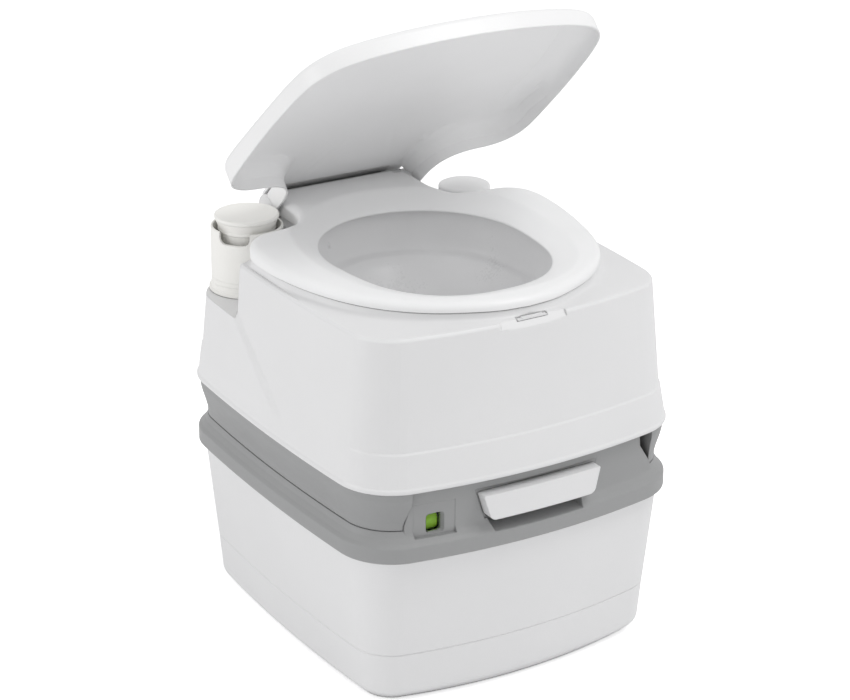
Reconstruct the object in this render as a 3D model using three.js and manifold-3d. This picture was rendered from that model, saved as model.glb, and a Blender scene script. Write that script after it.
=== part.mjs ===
// Portable camp toilet: a flush unit (water tank, bowl, seat, lid and pump) that stands on a
// removable waste tank.
// Millimetres, +Z up, +Y to the back, +X to the right seen from the front (the sitter's left).
// Origin: on the floor, at the centre of the footprint.
import * as THREE from "three";
import { mergeVertices } from "three/addons/utils/BufferGeometryUtils.js";
import Module from "manifold-3d";

const wasm = await Module();
wasm.setup();

// ================================================================ driving dimensions
const WIDTH = 383; // across the flange, at the middle of the sides
const DEPTH = 427; // across the flange, at the middle of the front and back
const FRONT_BOW = 24.906; // how far the front and back bow out
const SIDE_BOW = 10.441; // how far the sides bow out
const CORNER_R = 61.019; // corner radius of the flange
const WALL = 3; // wall of the moulded tanks
const GAP = 0.4; // clearance between neighbouring pieces

const TANK_SPLIT_Z = 164.2; // joint between the two halves of the waste tank
const FLANGE_Z = 165.6; // lower edge of the grey flange
const BAY_FLOOR_Z = 181; // floor of the spout bay
const TANK_TOP_Z = 195.2; // flat top of the waste tank
const BASE_Z = 195.9; // lower edge of the flush unit's skirt
const FLOOR_Z = 212; // underside of the flush unit's floor
const RIM_Z = 237.4; // lower edge of the white shell
const CREASE_Z = 277;
const PUMP_DECK_Z = 332; // deck round the pump
const REAR_DECK_Z = 376; // deck under the hinge and around the filler
const DECK_EDGE_Z = 387.65;
const DECK_Z = 388.65;
const LID_RIM_Z = 390; // rim of the closed lid
const PLINTH_Z = 396.5; // top of the raised ring under the seat

const HINGE = [180.8, 400]; // y, z of the seat and lid axis
const [HINGE_Y, HINGE_Z] = HINGE;
const HINGE_PIN_R = 4;
const HINGE_BORE_R = 4.35;
const KNUCKLE_R = 9;
const REAR_STRIP_Y = 163; // the high deck ends here
const LID_OPEN = THREE.MathUtils.degToRad(42.5); // lid angle at rest
const REAR_RISE = 7; // how much higher the seat and lid are at the back

// Plan positions, x and y.
const CENTRE = [0, 0]; // bowl outlet and tank inlet
const PUMP = [-126, 151];
const FILLER = [137.5, 149];
const SPOUT = [-88, 168]; // swivel axis
const VENT = [100, 160];
const OUTLET_R = 48;

// y values beyond the body, where cutting blocks end.
const FRONT_CLEAR = -230;
const BACK_CLEAR = 260;

// ================================================================ plan curves
const bowRadius = (half, bow) => (half * half + bow * bow) / (2 * bow);

function arc([cx, cy], radius, from, to, steps) {
  return Array.from({ length: steps + 1 }, (_, i) => {
    const angle = from + ((to - from) * i) / steps;
    return [cx + radius * Math.cos(angle), cy + radius * Math.sin(angle)];
  });
}

// Completes a right half, listed from front to back, with its mirror image.
const mirrored = (half) => [
  ...half,
  ...half.filter(([x]) => x > 1e-6).reverse().map(([x, y]) => [-x, y]),
];

// Body plan moved in by inset: a bowed rounded rectangle with three arcs in each quarter.
function outline(inset) {
  const halfWidth = WIDTH / 2 - inset;
  const halfDepth = DEPTH / 2 - inset;
  const cornerR = Math.max(CORNER_R - inset, 5);
  const frontR = bowRadius(halfWidth, FRONT_BOW);
  const sideR = bowRadius(halfDepth, SIDE_BOW);
  const frontCentre = [0, -halfDepth + frontR];
  const sideCentre = [halfWidth - sideR, 0];

  // The corner touches both bows, so its centre is a crossing of two circles round theirs.
  const frontReach = frontR - cornerR;
  const sideReach = sideR - cornerR;
  const dx = sideCentre[0] - frontCentre[0];
  const dy = sideCentre[1] - frontCentre[1];
  const distance = Math.hypot(dx, dy);
  const along = (frontReach ** 2 - sideReach ** 2 + distance ** 2) / (2 * distance);
  const across = Math.sqrt(frontReach ** 2 - along ** 2);
  const ux = dx / distance;
  const uy = dy / distance;
  const cornerCentre = [across, -across]
    .map((h) => [
      frontCentre[0] + ux * along - uy * h,
      frontCentre[1] + uy * along + ux * h,
    ])
    .find(([x, y]) => x > 0 && y < 0);

  const direction = (from, to) => Math.atan2(to[1] - from[1], to[0] - from[0]);
  const frontEnd = direction(frontCentre, cornerCentre);
  const sideStart = direction(sideCentre, cornerCentre);
  const quarter = [
    ...arc(frontCentre, frontR, -Math.PI / 2, frontEnd, 2),
    ...arc(cornerCentre, cornerR, frontEnd, sideStart, 4).slice(1),
    ...arc(sideCentre, sideR, sideStart, 0, 2).slice(1),
  ];
  const backQuarter = quarter.slice(0, -1).reverse().map(([x, y]) => [x, -y]);
  return mirrored([...quarter, ...backQuarter]);
}

// Egg that reaches frontY and backY, widest at widestY.
function egg(halfWidth, frontY, backY, widestY = -5) {
  const count = 28;
  return Array.from({ length: count }, (_, i) => {
    const angle = -Math.PI / 2 + (2 * Math.PI * i) / count;
    const sine = Math.sin(angle);
    const reach = sine < 0 ? widestY - frontY : backY - widestY;
    return [halfWidth * Math.cos(angle), widestY + reach * sine];
  });
}

const circle = ([cx, cy], radius, sides) =>
  Array.from({ length: sides }, (_, i) => [
    cx + radius * Math.cos((2 * Math.PI * i) / sides),
    cy + radius * Math.sin((2 * Math.PI * i) / sides),
  ]);

// Moves a closed anticlockwise polygon inwards along its corner normals.
function offset(polygon, distance) {
  const count = polygon.length;
  return polygon.map(([x, y], i) => {
    const before = polygon[(i + count - 1) % count];
    const after = polygon[(i + 1) % count];
    const edgeIn = [x - before[0], y - before[1]];
    const edgeOut = [after[0] - x, after[1] - y];
    const lengthIn = Math.hypot(...edgeIn);
    const lengthOut = Math.hypot(...edgeOut);
    const nx = -(edgeIn[1] / lengthIn + edgeOut[1] / lengthOut);
    const ny = edgeIn[0] / lengthIn + edgeOut[0] / lengthOut;
    const length = Math.hypot(nx, ny);
    return [x + (nx / length) * distance, y + (ny / length) * distance];
  });
}

const scaled = (polygon, factor) => polygon.map(([x, y]) => [x * factor, y * factor]);
const at = (polygon, z) => polygon.map(([x, y]) => [x, y, z]);

// Ring at height z that takes a share of the smooth rise towards the back.
function rising(polygon, z, share) {
  return polygon.map(([x, y]) => {
    const t = Math.min(Math.max((y + 60) / 150, 0), 1);
    return [x, y, z + share * REAR_RISE * t * t * (3 - 2 * t)];
  });
}

// ================================================================ solids
// Ranges are [from, to]; rods take the range along their axis, then the axis position.
const span = (middle, half) => [middle - half, middle + half];
const bothSides = ([from, to]) => [
  [-to, -from],
  [from, to],
];
const join = (first, ...rest) => rest.reduce((sum, next) => sum.add(next), first);
const cut = (first, ...rest) => rest.reduce((left, next) => left.subtract(next), first);

function solid(geometry) {
  geometry.deleteAttribute("normal");
  geometry.deleteAttribute("uv");
  const merged = mergeVertices(geometry, 1e-4);
  return new wasm.Manifold(
    new wasm.Mesh({
      numProp: 3,
      vertProperties: new Float32Array(merged.attributes.position.array),
      triVerts: new Uint32Array(merged.index.array),
    }),
  );
}

// Skins a stack of rings of equal length. Capped, it closes the first and last ring;
// otherwise it joins the last ring to the first.
function loft(rings, capped = true) {
  const count = rings[0].length;
  const bands = capped ? rings.length - 1 : rings.length;
  const indices = [];
  for (let i = 0; i < bands; i++) {
    const low = i * count;
    const high = ((i + 1) % rings.length) * count;
    for (let j = 0; j < count; j++) {
      const k = (j + 1) % count;
      indices.push(low + j, low + k, high + k, low + j, high + k, high + j);
    }
  }
  if (capped) {
    const triangles = (ring) =>
      THREE.ShapeUtils.triangulateShape(ring.map(([x, y]) => new THREE.Vector2(x, y)), []);
    const top = (rings.length - 1) * count;
    for (const [a, b, c] of triangles(rings[0])) indices.push(a, c, b);
    for (const [a, b, c] of triangles(rings.at(-1))) indices.push(top + a, top + b, top + c);
  }
  const geometry = new THREE.BufferGeometry();
  geometry.setAttribute("position", new THREE.Float32BufferAttribute(rings.flat(2), 3));
  geometry.setIndex(indices);
  return solid(geometry);
}

// Body-shaped loft from stations of inset, z.
const bodyLoft = (stations) => loft(stations.map(([inset, z]) => at(outline(inset), z)));

const prism = (polygon, [z0, z1]) => loft([at(polygon, z0), at(polygon, z1)]);

const box = ([x0, x1], [y0, y1], [z0, z1]) =>
  solid(
    new THREE.BoxGeometry(x1 - x0, y1 - y0, z1 - z0)
      .translate((x0 + x1) / 2, (y0 + y1) / 2, (z0 + z1) / 2),
  );

const rodX = ([x0, x1], [y, z], radius, sides) =>
  solid(
    new THREE.CylinderGeometry(radius, radius, x1 - x0, sides)
      .rotateZ(Math.PI / 2)
      .translate((x0 + x1) / 2, y, z),
  );

const rodY = ([y0, y1], [x, z], radius, sides) =>
  solid(
    new THREE.CylinderGeometry(radius, radius, y1 - y0, sides)
      .translate(x, (y0 + y1) / 2, z),
  );

const rodZ = (zRange, centre, radius, sides) => prism(circle(centre, radius, sides), zRange);

const tube = ([z0, z1], centre, [innerR, outerR], sides) =>
  cut(
    rodZ([z0, z1], centre, outerR, sides),
    rodZ([z0 - 1, z1 + 1], centre, innerR, sides),
  );

// Turned about a vertical axis; the closed profile of r, z runs anticlockwise.
function turned(profile, [x, y], sides) {
  const points = [...profile, profile[0]].map(([r, z]) => new THREE.Vector2(r, z));
  return solid(
    new THREE.LatheGeometry(points, sides).rotateX(Math.PI / 2).translate(x, y, 0),
  );
}

const ellipsoid = (radius, [around, down], scale, centre) =>
  solid(new THREE.SphereGeometry(radius, around, down).scale(...scale).translate(...centre));

const swept = (section, points, steps, curveSegments) =>
  new THREE.ExtrudeGeometry(section, {
    extrudePath: new THREE.CatmullRomCurve3(points.map((p) => new THREE.Vector3(...p))),
    steps,
    curveSegments,
    bevelEnabled: false,
  });

// ================================================================ materials and meshes
const WHITE = 0xf4f4f4;
const IVORY = 0xf2eeea;
const DARK_GREY = 0x6f7275;
const MATERIAL = {
  body: { color: WHITE, roughness: 0.28 },
  handle: { color: WHITE, roughness: 0.3 },
  fitting: { color: WHITE, roughness: 0.35 },
  floatArm: { color: WHITE, roughness: 0.4 },
  greyBody: { color: 0x9a9c9e, roughness: 0.35 },
  window: { color: 0xdfe8dc, roughness: 0.08 },
  flag: { color: 0x8cc63f, roughness: 0.35 },
  float: { color: 0xe8e8e6, roughness: 0.5 },
  valve: { color: DARK_GREY, roughness: 0.45 },
  blade: { color: 0x34373a, roughness: 0.4 },
  spout: { color: 0x85888b, roughness: 0.4 },
  cap: { color: 0xd8dadb, roughness: 0.4 },
  bowl: { color: 0xefefef, roughness: 0.2 },
  seat: { color: 0xeceded, roughness: 0.3 },
  knob: { color: IVORY, roughness: 0.3 },
  collar: { color: IVORY, roughness: 0.35 },
  pump: { color: IVORY, roughness: 0.4 },
  piston: { color: DARK_GREY, roughness: 0.5 },
  hose: { color: 0xd9dcdc, roughness: 0.3 },
  rubber: { color: 0x2a2b2d, roughness: 0.8 },
  steel: { color: 0xb9bcc0, roughness: 0.3, metalness: 0.9 },
};

function geometryOf(made) {
  const mesh = made.getMesh();
  const geometry = new THREE.BufferGeometry();
  const positions = new Float32Array(mesh.vertProperties);
  geometry.setAttribute("position", new THREE.BufferAttribute(positions, 3));
  geometry.setIndex(new THREE.BufferAttribute(new Uint32Array(mesh.triVerts), 1));
  geometry.computeVertexNormals();
  return geometry;
}

const root = new THREE.Group();
function add(name, made, material, parent = root) {
  const mesh = new THREE.Mesh(geometryOf(made), new THREE.MeshStandardMaterial(material));
  mesh.name = name;
  parent.add(mesh);
  return mesh;
}

// ================================================================ waste tank
// Lower half: an open tub with a rounded foot and a ledge below the joint. Stations: inset, z.
const TUB_OUTSIDE = [
  [33, 0], [29.6, 3.2], [20, 12], [16.5, 55.9], [7, 162], [3, 162.2], [3, TANK_SPLIT_Z],
];
const TUB_INSIDE = [
  [9, TANK_SPLIT_Z], [9.5, 160], [19.5, 55.9], [23, 14], [31, 5], [35, WALL + 0.5],
];
add("waste_tank_lower", bodyLoft([...TUB_OUTSIDE, ...TUB_INSIDE]), MATERIAL.body);

// Console block at the front of the waste tank, between the skirt's two ends.
// Its sides as half width, z. The skirt's cut is steeper, so that a V-shaped gap opens
// upwards at each end.
const CONSOLE_INSET = 8.6;
const CONSOLE_SIDES = [[148, 186], [148, 200], [133, 222], [132, 236.4]];
const CONSOLE_CUT_SIDES = [[148, 183], [148, 200], [144, 222], [143.5, 260]];
const CONSOLE_GAP = 0.7;
const CONSOLE_CUT_BACK_Y = -149.4;

function consoleFrontY(x) {
  const radius = bowRadius(WIDTH / 2 - CONSOLE_INSET, FRONT_BOW);
  return -(DEPTH / 2 - CONSOLE_INSET) + radius - Math.sqrt(radius * radius - x * x);
}

function consoleBlock(sides, backY, widen = 0, forward = 0) {
  const steps = 12;
  return loft(
    sides.map(([side, z]) => {
      const half = side + widen;
      const front = Array.from({ length: steps + 1 }, (_, i) => {
        const x = -half + (2 * half * i) / steps;
        return [x, consoleFrontY(x) - forward, z];
      });
      return [...front, [half, backY, z], [-half, backY, z]];
    }),
  );
}

// Bay for the spout, open to the back and chamfered at its left front corner.
const spoutBay = (grow, zRange) =>
  prism(
    [
      [68 + grow, 146 - grow], [68 + grow, 240], [-114 - grow, 240], [-114 - grow, 158],
      [-104 - grow * 0.7, 148 - grow * 0.7], [-92, 146 - grow],
    ],
    zRange,
  );

const WINDOW_X = -110.8; // middle of the level window

// Carry grip under the valve handle.
const gripPocket = (grow, topZ) =>
  box([-52 - grow, 55 + grow], [FRONT_CLEAR, -188 + grow], [182 - grow, topZ]);

// Latch at the back.
const LATCH_X = 110;
const LATCH_AXIS = [206, 190]; // y, z
const LATCH_PIN_R = 2;
const LATCH_BORE_R = 2.3;
const LATCH_HALF = 17.8; // half width of the lever
const EAR_WIDTH = 5;

// Ear that holds the latch pin, from x towards +X.
function latchEar(x) {
  const [y, z] = LATCH_AXIS;
  const width = [x, x + EAR_WIDTH];
  return cut(
    join(
      rodX(width, LATCH_AXIS, 5.4, 16),
      box(width, span(y, 5.4), [183.5, z]),
      box(width, [196, y], [184.6, 195]),
    ),
    rodX([x - 1, x + EAR_WIDTH + 1], LATCH_AXIS, LATCH_BORE_R, 16),
  );
}

// Upper half: flange, waist, flat top, front console and the spout bay at the back.
function wasteTankUpper() {
  const outside = bodyLoft([
    [2.2, FLANGE_Z - 0.6], [0, FLANGE_Z + 1.4], [0, 182], [2.5, 184.5], [9, 189],
    [13.6, 193], [15.5, TANK_TOP_Z],
  ]);
  const hollow = bodyLoft([
    [8, FLANGE_Z - 5], [8, 181], [13, 186], [18.5, 191], [22, TANK_TOP_Z - WALL],
  ]);
  const flagRoom = box([WINDOW_X - 15.7, WINDOW_X + 18.3], [-189.6, -154], [180, 213]);
  const inside = cut(
    join(hollow, flagRoom),
    gripPocket(WALL, 201),
    spoutBay(WALL, [BAY_FLOOR_Z - WALL, 260]),
  );
  const handleRecess = box([-71, 75], [FRONT_CLEAR, -200.5], [192.5, 227]);
  const bladeSlot = box(span(0, 63.6), [FRONT_CLEAR, -140], [202.6, 206.5]);
  const windowOpening = box(span(WINDOW_X, 8.3), [FRONT_CLEAR, -188], [188.6, 208.6]);
  const top = cut(
    join(outside, consoleBlock(CONSOLE_SIDES, -150)),
    inside,
    gripPocket(0, 195),
    spoutBay(0, [BAY_FLOOR_Z, 260]),
    handleRecess,
    bladeSlot,
    windowOpening,
    rodZ([180, 200], CENTRE, OUTLET_R + 1, 32),
    rodZ([180, 200], VENT, 6, 16),
    rodZ([170, 190], SPOUT, 12, 20),
  );
  const earGap = 0.6;
  return join(
    top,
    latchEar(LATCH_X - LATCH_HALF - earGap - EAR_WIDTH),
    latchEar(LATCH_X + LATCH_HALF + earGap),
  );
}
add("waste_tank_upper", wasteTankUpper(), MATERIAL.greyBody);

// ---------------------------------------------------------------- level gauge
const FLOAT_AXIS = [-175.2, 198]; // y, z of the float pin
const [FLOAT_Y, FLOAT_Z] = FLOAT_AXIS;
const FLOAT_BORE_R = 2.3;
const ARM_X = WINDOW_X + 10.5;
const ARM_LENGTH = 62;
const ARM_ANGLE = THREE.MathUtils.degToRad(38); // from straight down towards the back

add("level_window", box(span(WINDOW_X, 7.9), [-192.8, -190.6], [189, 208.2]), MATERIAL.window);

// Curved flag in front of the pin, carried by a hub and one cheek.
function levelFlag() {
  const width = span(WINDOW_X, 7.5);
  const through = span(WINDOW_X, 9);
  const flag = cut(
    rodX(width, FLOAT_AXIS, 13.4, 24),
    rodX(through, FLOAT_AXIS, 11, 24),
    box(through, [FLOAT_Y + 3, FLOAT_Y + 20], span(FLOAT_Z, 20)),
  );
  const cheek = box([width[0], width[0] + 2], [FLOAT_Y - 11.6, FLOAT_Y], span(FLOAT_Z, 3));
  const hub = cut(
    join(rodX(width, FLOAT_AXIS, 5, 16), cheek),
    rodX(through, FLOAT_AXIS, FLOAT_BORE_R, 16),
  );
  return join(flag, hub);
}
add("level_flag", levelFlag(), MATERIAL.flag);
add(
  "float_pin",
  rodX([WINDOW_X - 15.4, WINDOW_X + 17.9], FLOAT_AXIS, 2, 14),
  MATERIAL.steel,
);

// Straight bar that runs back and down from the pin to the float.
const armBar = (thicken = 0, lengthen = 0) =>
  solid(
    new THREE.BoxGeometry(5 + thicken, 6 + thicken, ARM_LENGTH + lengthen)
      .translate(0, 0, -ARM_LENGTH / 2)
      .rotateX(ARM_ANGLE)
      .translate(ARM_X, FLOAT_Y, FLOAT_Z),
  );
add(
  "float_arm",
  cut(
    join(rodX(span(ARM_X, 2.5), FLOAT_AXIS, 5.5, 16), armBar()),
    rodX(span(ARM_X, 3.5), FLOAT_AXIS, FLOAT_BORE_R, 16),
  ),
  MATERIAL.floatArm,
);

function float() {
  const reach = 60; // along the arm, before the shift back and down
  const axis = [
    FLOAT_Y + reach * Math.sin(ARM_ANGLE) + 9,
    FLOAT_Z - reach * Math.cos(ARM_ANGLE) - 11,
  ];
  return cut(rodX([WINDOW_X - 20, WINDOW_X + 41], axis, 13, 20), armBar(0.8, 4));
}
add("float", float(), MATERIAL.float);

// ---------------------------------------------------------------- slide valve
const GUIDE_HALF = 76;
const GUIDE_Y = [-92, 78];
const GUIDE_FLOOR_Z = 202.8; // top of the guide's floor plate
const BLADE_Z = [203.2, 205.9];

// Floor plate with a rail at each side and one at the back.
function valveGuide() {
  const width = span(0, GUIDE_HALF);
  const railZ = [GUIDE_FLOOR_Z, 206.2];
  return cut(
    join(
      box(width, GUIDE_Y, [TANK_TOP_Z + GAP, GUIDE_FLOOR_Z]),
      ...bothSides([64.2, GUIDE_HALF]).map((x) => box(x, GUIDE_Y, railZ)),
      box(width, [68, GUIDE_Y[1]], railZ),
    ),
    rodZ([190, 210], CENTRE, OUTLET_R + 1, 32),
  );
}
add("valve_guide", valveGuide(), MATERIAL.valve);
add(
  "valve_cover",
  cut(
    box(span(0, GUIDE_HALF), GUIDE_Y, [206.6, 209.2]),
    rodZ([200, 215], CENTRE, 56, 32),
  ),
  MATERIAL.valve,
);
add("valve_lip_seal", tube([206.4, 210], CENTRE, [50, 55.6], 24), MATERIAL.rubber);

// Blade with a rounded back, and the two stems that carry the handle. Right half: x, y.
const BLADE_HALF = [
  [0, -62], [63, -62], [63, 6], [60.5, 24], [53, 40], [40, 53], [24, 61], [0, 63.5],
];
add(
  "valve_blade",
  join(
    prism(mirrored(BLADE_HALF), BLADE_Z),
    ...bothSides([30, 44]).map((x) => box(x, [-203, -61], BLADE_Z)),
  ),
  MATERIAL.blade,
);

// Handle: a trapezoid bar, wider at the top, with a slot for the stems. Face: x, z.
const HANDLE_FACE = [
  [-56, 197], [63, 196.2], [70, 221.4], [68, 223.2], [-64, 223.6], [-66, 221.8],
];
function valveHandle() {
  const face = new THREE.Shape(HANDLE_FACE.map(([x, z]) => new THREE.Vector2(x, z)));
  const bar = new THREE.ExtrudeGeometry(face, { depth: 15, bevelEnabled: false })
    .rotateX(Math.PI / 2)
    .translate(0, -201.5, 0);
  return cut(solid(bar), box(span(0, 44.5), [-203.6, -200], [GUIDE_FLOOR_Z, 206.3]));
}
add("valve_handle", valveHandle(), MATERIAL.handle);

// ---------------------------------------------------------------- pouring spout
const SPOUT_R = 18;
const SPOUT_Z = 203; // height of the level tube
const SPOUT_AXIS = [SPOUT[1], SPOUT_Z]; // y, z of the level tube

// Upright swivel with a ball elbow and a level tube towards +X.
function pourSpout() {
  const [x, y] = SPOUT;
  const elbow = new THREE.SphereGeometry(SPOUT_R, 20, 10)
    .rotateX(Math.PI / 2)
    .translate(x, y, SPOUT_Z);
  return cut(
    join(
      rodZ([185, SPOUT_Z], SPOUT, SPOUT_R, 20),
      solid(elbow),
      rodX([x, 36], SPOUT_AXIS, SPOUT_R, 20),
      rodZ([173, 187], SPOUT, 11.4, 20),
      tube([173.5, 177.4], SPOUT, [10, 15], 20),
    ),
    rodX([x + 2, 60], SPOUT_AXIS, 15, 20),
    rodZ([160, 205], SPOUT, 8.5, 20),
  );
}
add("pour_spout", pourSpout(), MATERIAL.spout);
add("spout_seal", tube([181.4, 184.6], SPOUT, [12.2, 16.5], 20), MATERIAL.rubber);

// Cap with twelve shallow flutes round its rim.
function spoutCap() {
  const fluteCircleR = 22.4;
  const flutes = Array.from({ length: 12 }, (_, i) => {
    const angle = (i * Math.PI) / 6 + 0.26;
    const axis = [
      SPOUT_AXIS[0] + fluteCircleR * Math.cos(angle),
      SPOUT_AXIS[1] + fluteCircleR * Math.sin(angle),
    ];
    return rodX([38, 56], axis, 2.4, 8);
  });
  return cut(
    rodX([39, 58], SPOUT_AXIS, 20.8, 24),
    rodX([30, 54.5], SPOUT_AXIS, 18.5, 20),
    ...flutes,
  );
}
add("spout_cap", spoutCap(), MATERIAL.cap);
add(
  "spout_cap_seal",
  cut(rodX([36.5, 54], SPOUT_AXIS, 17.9, 20), rodX([30, 60], SPOUT_AXIS, 15.4, 16)),
  MATERIAL.rubber,
);

// ---------------------------------------------------------------- vent
// Stem with a head above the tank's top and a disc below it.
add(
  "vent_button",
  join(
    rodZ([187, 200], VENT, 5.4, 16),
    rodZ([200, 203.5], VENT, 8.6, 20),
    rodZ([181, 187.2], VENT, 8.6, 20),
  ),
  MATERIAL.cap,
);
add("vent_seal", tube([187.6, 191.2], VENT, [6, 9.5], 20), MATERIAL.rubber);

// Two-turn spring between the tank's top and the button's head.
function ventSpring() {
  const coilR = 7.1;
  const turns = 2;
  const height = 3.2;
  const coil = Array.from({ length: 25 }, (_, i) => {
    const t = i / 24;
    const angle = t * turns * 2 * Math.PI;
    return [coilR * Math.cos(angle), coilR * Math.sin(angle), 196 + height * t];
  });
  const wire = new THREE.Shape();
  wire.absarc(0, 0, 0.45, 0, 2 * Math.PI);
  return solid(swept(wire, coil, 28, 2).translate(...VENT, 0));
}
add("vent_spring", ventSpring(), MATERIAL.steel);

// ---------------------------------------------------------------- latch
// Ties the two units at the back: a lever on a pin, with a rib on its back face.
add(
  "latch",
  cut(
    join(
      box(span(LATCH_X, LATCH_HALF), [203.4, 208.4], [LATCH_AXIS[1], 226]),
      rodX(span(LATCH_X, LATCH_HALF), LATCH_AXIS, 5, 16),
      box(span(LATCH_X, 14), [208, 213], [216, 221]),
    ),
    rodX(span(LATCH_X, 20), LATCH_AXIS, LATCH_BORE_R, 16),
  ),
  MATERIAL.fitting,
);
add("latch_pin", rodX(span(LATCH_X, 23.8), LATCH_AXIS, LATCH_PIN_R, 14), MATERIAL.steel);

// ================================================================ flush unit
// Base: grey skirt with a floor, cut away at the front for the console and at the back
// for the spout. Stations: inset, z.
function flushTankBase() {
  const bayTopZ = 224;
  const outside = bodyLoft([
    [15.8, BASE_Z], [15.6, 204], [13, 211], [6.4, 222], [3.6, 227.5], [3, 230],
    [3, RIM_Z - GAP],
  ]);
  const hollow = bodyLoft([[19.5, FLOOR_Z + 2.6], [10.4, 222], [7.4, 228], [7, 240]]);
  const belowFloor = bodyLoft([[19.6, BASE_Z - 5], [19.6, 204], [21, FLOOR_Z]]);
  const consoleCut = (wall, forward) =>
    consoleBlock(CONSOLE_CUT_SIDES, CONSOLE_CUT_BACK_Y + wall, CONSOLE_GAP + wall, forward);
  const inside = cut(
    hollow,
    consoleCut(WALL, 40),
    spoutBay(WALL, [180, bayTopZ + WALL]),
    rodZ([200, 222], CENTRE, 61.5, 32),
  );
  const earRoom = box(span(LATCH_X, 24.2), [200, 230], [180, 204]);
  return cut(
    outside,
    inside,
    belowFloor,
    consoleCut(0, 30),
    spoutBay(0, [180, bayTopZ]),
    rodZ([200, 230], CENTRE, 58, 32),
    earRoom,
  );
}
add("flush_tank_base", flushTankBase(), MATERIAL.greyBody);

// Seat plan, right half from the front to the back: x, y.
const SEAT_HALF = [
  [0, -188], [30, -184.2], [60, -173], [90, -157], [112, -139], [130, -118.5],
  [146, -92], [158, -62], [166.5, -28], [171, 4], [172, 34], [170.5, 54],
  [165.5, 69], [156, 80], [143.5, 86.5], [128, 88.5], [112, 91.5], [98, 98.5],
  [88, 110.5], [83, 126], [81.4, 145], [81.4, 168], [40, 168], [0, 168],
];
const SEAT_PLAN = mirrored(SEAT_HALF);

// Boundary between the high deck and the rear recesses, right half: x, y.
const STEP_HALF = [
  [250, 77], [176, 77], [166, 79], [156, 84], [147, 92], [140, 99], [126, 106.5],
  [112, 110], [102, 114], [93, 121], [86.5, 132], [83, 146], [82, REAR_STRIP_Y],
];

// Rear recess, side +1 at +X or -1 at -X; its edge is grown outwards.
function recess(side, grow, floorZ) {
  const last = STEP_HALF.length - 1;
  const [outerX, outerY] = STEP_HALF[0];
  const [innerX, innerY] = STEP_HALF[last];
  const edge = STEP_HALF.map(([x, y], i) => {
    const before = STEP_HALF[Math.max(i - 1, 0)];
    const after = STEP_HALF[Math.min(i + 1, last)];
    const dx = after[0] - before[0];
    const dy = after[1] - before[1];
    const length = Math.hypot(dx, dy);
    return [x + (-dy / length) * grow, y + (dx / length) * grow];
  });
  edge[0] = [outerX, outerY - grow];
  edge[last] = [innerX - grow, innerY];
  const plan = [...edge, [innerX - grow, BACK_CLEAR], [outerX, BACK_CLEAR]];
  const placed = plan.map(([x, y]) => [x * side, y]);
  if (side > 0) placed.reverse();
  return prism(placed, [floorZ, 460]);
}

// The three low decks at the back: filler side, pump side and the strip between them.
const rearDecks = (wall) => [
  recess(1, wall, REAR_DECK_Z - wall),
  recess(-1, wall, PUMP_DECK_Z - wall),
  box(span(0, 84), [REAR_STRIP_Y - wall, BACK_CLEAR], [REAR_DECK_Z - wall, 460]),
];

// Shell: rolled rim, crease, high deck with plinth, low decks at the back.
function flushTankShell() {
  const outside = bodyLoft([
    [1.4, RIM_Z], [0, 239.6], [0.6, 243], [7.4, CREASE_Z], [17.04, DECK_EDGE_Z],
    [20, DECK_Z],
  ]);
  const hollow = bodyLoft([
    [2.4 + WALL, RIM_Z - 3], [3.4 + WALL, 243], [7.8 + WALL, CREASE_Z],
    [17 + WALL, DECK_Z - 6], [22 + WALL, DECK_Z - WALL],
  ]);
  // The plinth follows the seat 3 mm inside and ends at the rear strip.
  const plinthHalf = offset(SEAT_PLAN, 3)
    .slice(0, SEAT_HALF.length)
    .map(([x, y]) => [Math.max(x, 0), Math.min(y, REAR_STRIP_Y)]);
  const plinth = prism(mirrored(plinthHalf), [DECK_Z - 1, PLINTH_Z]);
  const inside = cut(hollow, ...rearDecks(WALL));
  const body = cut(join(outside, plinth), ...rearDecks(0), inside);

  const neckR = 20;
  const fillerNeck = tube([REAR_DECK_Z - 1, 393], FILLER, [neckR, 23.6], 28);
  const frontScoop = ellipsoid(60, [16, 12], [0.75, 0.42, 0.2], [0, -218, 393]);
  const catchSlot = box(span(0, 17.5), [-193.5, -187.4], [386.5, 400]);
  return cut(
    join(body, fillerNeck),
    prism(egg(127, -152, 139), [393.1, 400]), // seat for the bowl's flange
    prism(egg(122.2, -147, 134), [380, 400]),
    rodZ([320, 340], PUMP, 24.6, 28),
    rodZ([360, 395], FILLER, neckR, 28),
    frontScoop,
    catchSlot,
  );
}
add("flush_tank_shell", flushTankShell(), MATERIAL.body);
add(
  "lid_catch",
  join(
    box(span(0, 16.8), [-192.8, -188], [386.9, 388.4]),
    box(span(0, 12), [-191.6, -189.2], [388.4, 389.4]),
  ),
  MATERIAL.fitting,
);

// ---------------------------------------------------------------- bowl
const NOZZLE_AXIS = [-52, 374]; // x, z

// Flange, egg-shaped wall, funnel and round outlet, down the inside and up the outside.
// Columns: half width, front y, back y, z.
const BOWL_WALL = [
  [126.3, -151.3, 138.3, 393.5],
  [126.3, -151.3, 138.3, 396.2],
  [119, -144.5, 131.5, 396.2],
  [117, -142, 128.5, 392],
  [114, -137, 124, 372],
  [104, -126, 113, 352],
  [90, -108, 96, 336],
  [70, -84, 76, 308],
  [55, -60, 56, 275],
  [OUTLET_R, -OUTLET_R, OUTLET_R, 246],
  [OUTLET_R, -OUTLET_R, OUTLET_R, 214.9],
  [OUTLET_R + 3, -OUTLET_R - 3, OUTLET_R + 3, 214.9],
  [OUTLET_R + 3, -OUTLET_R - 3, OUTLET_R + 3, 247],
  [58, -63, 59, 274],
  [73, -87, 79, 306],
  [93, -111, 99, 333],
  [107, -129, 116, 349],
  [117, -140, 127, 371],
  [120.6, -145.4, 132.4, 391],
  [121.4, -146, 133, 393.5],
];
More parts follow.
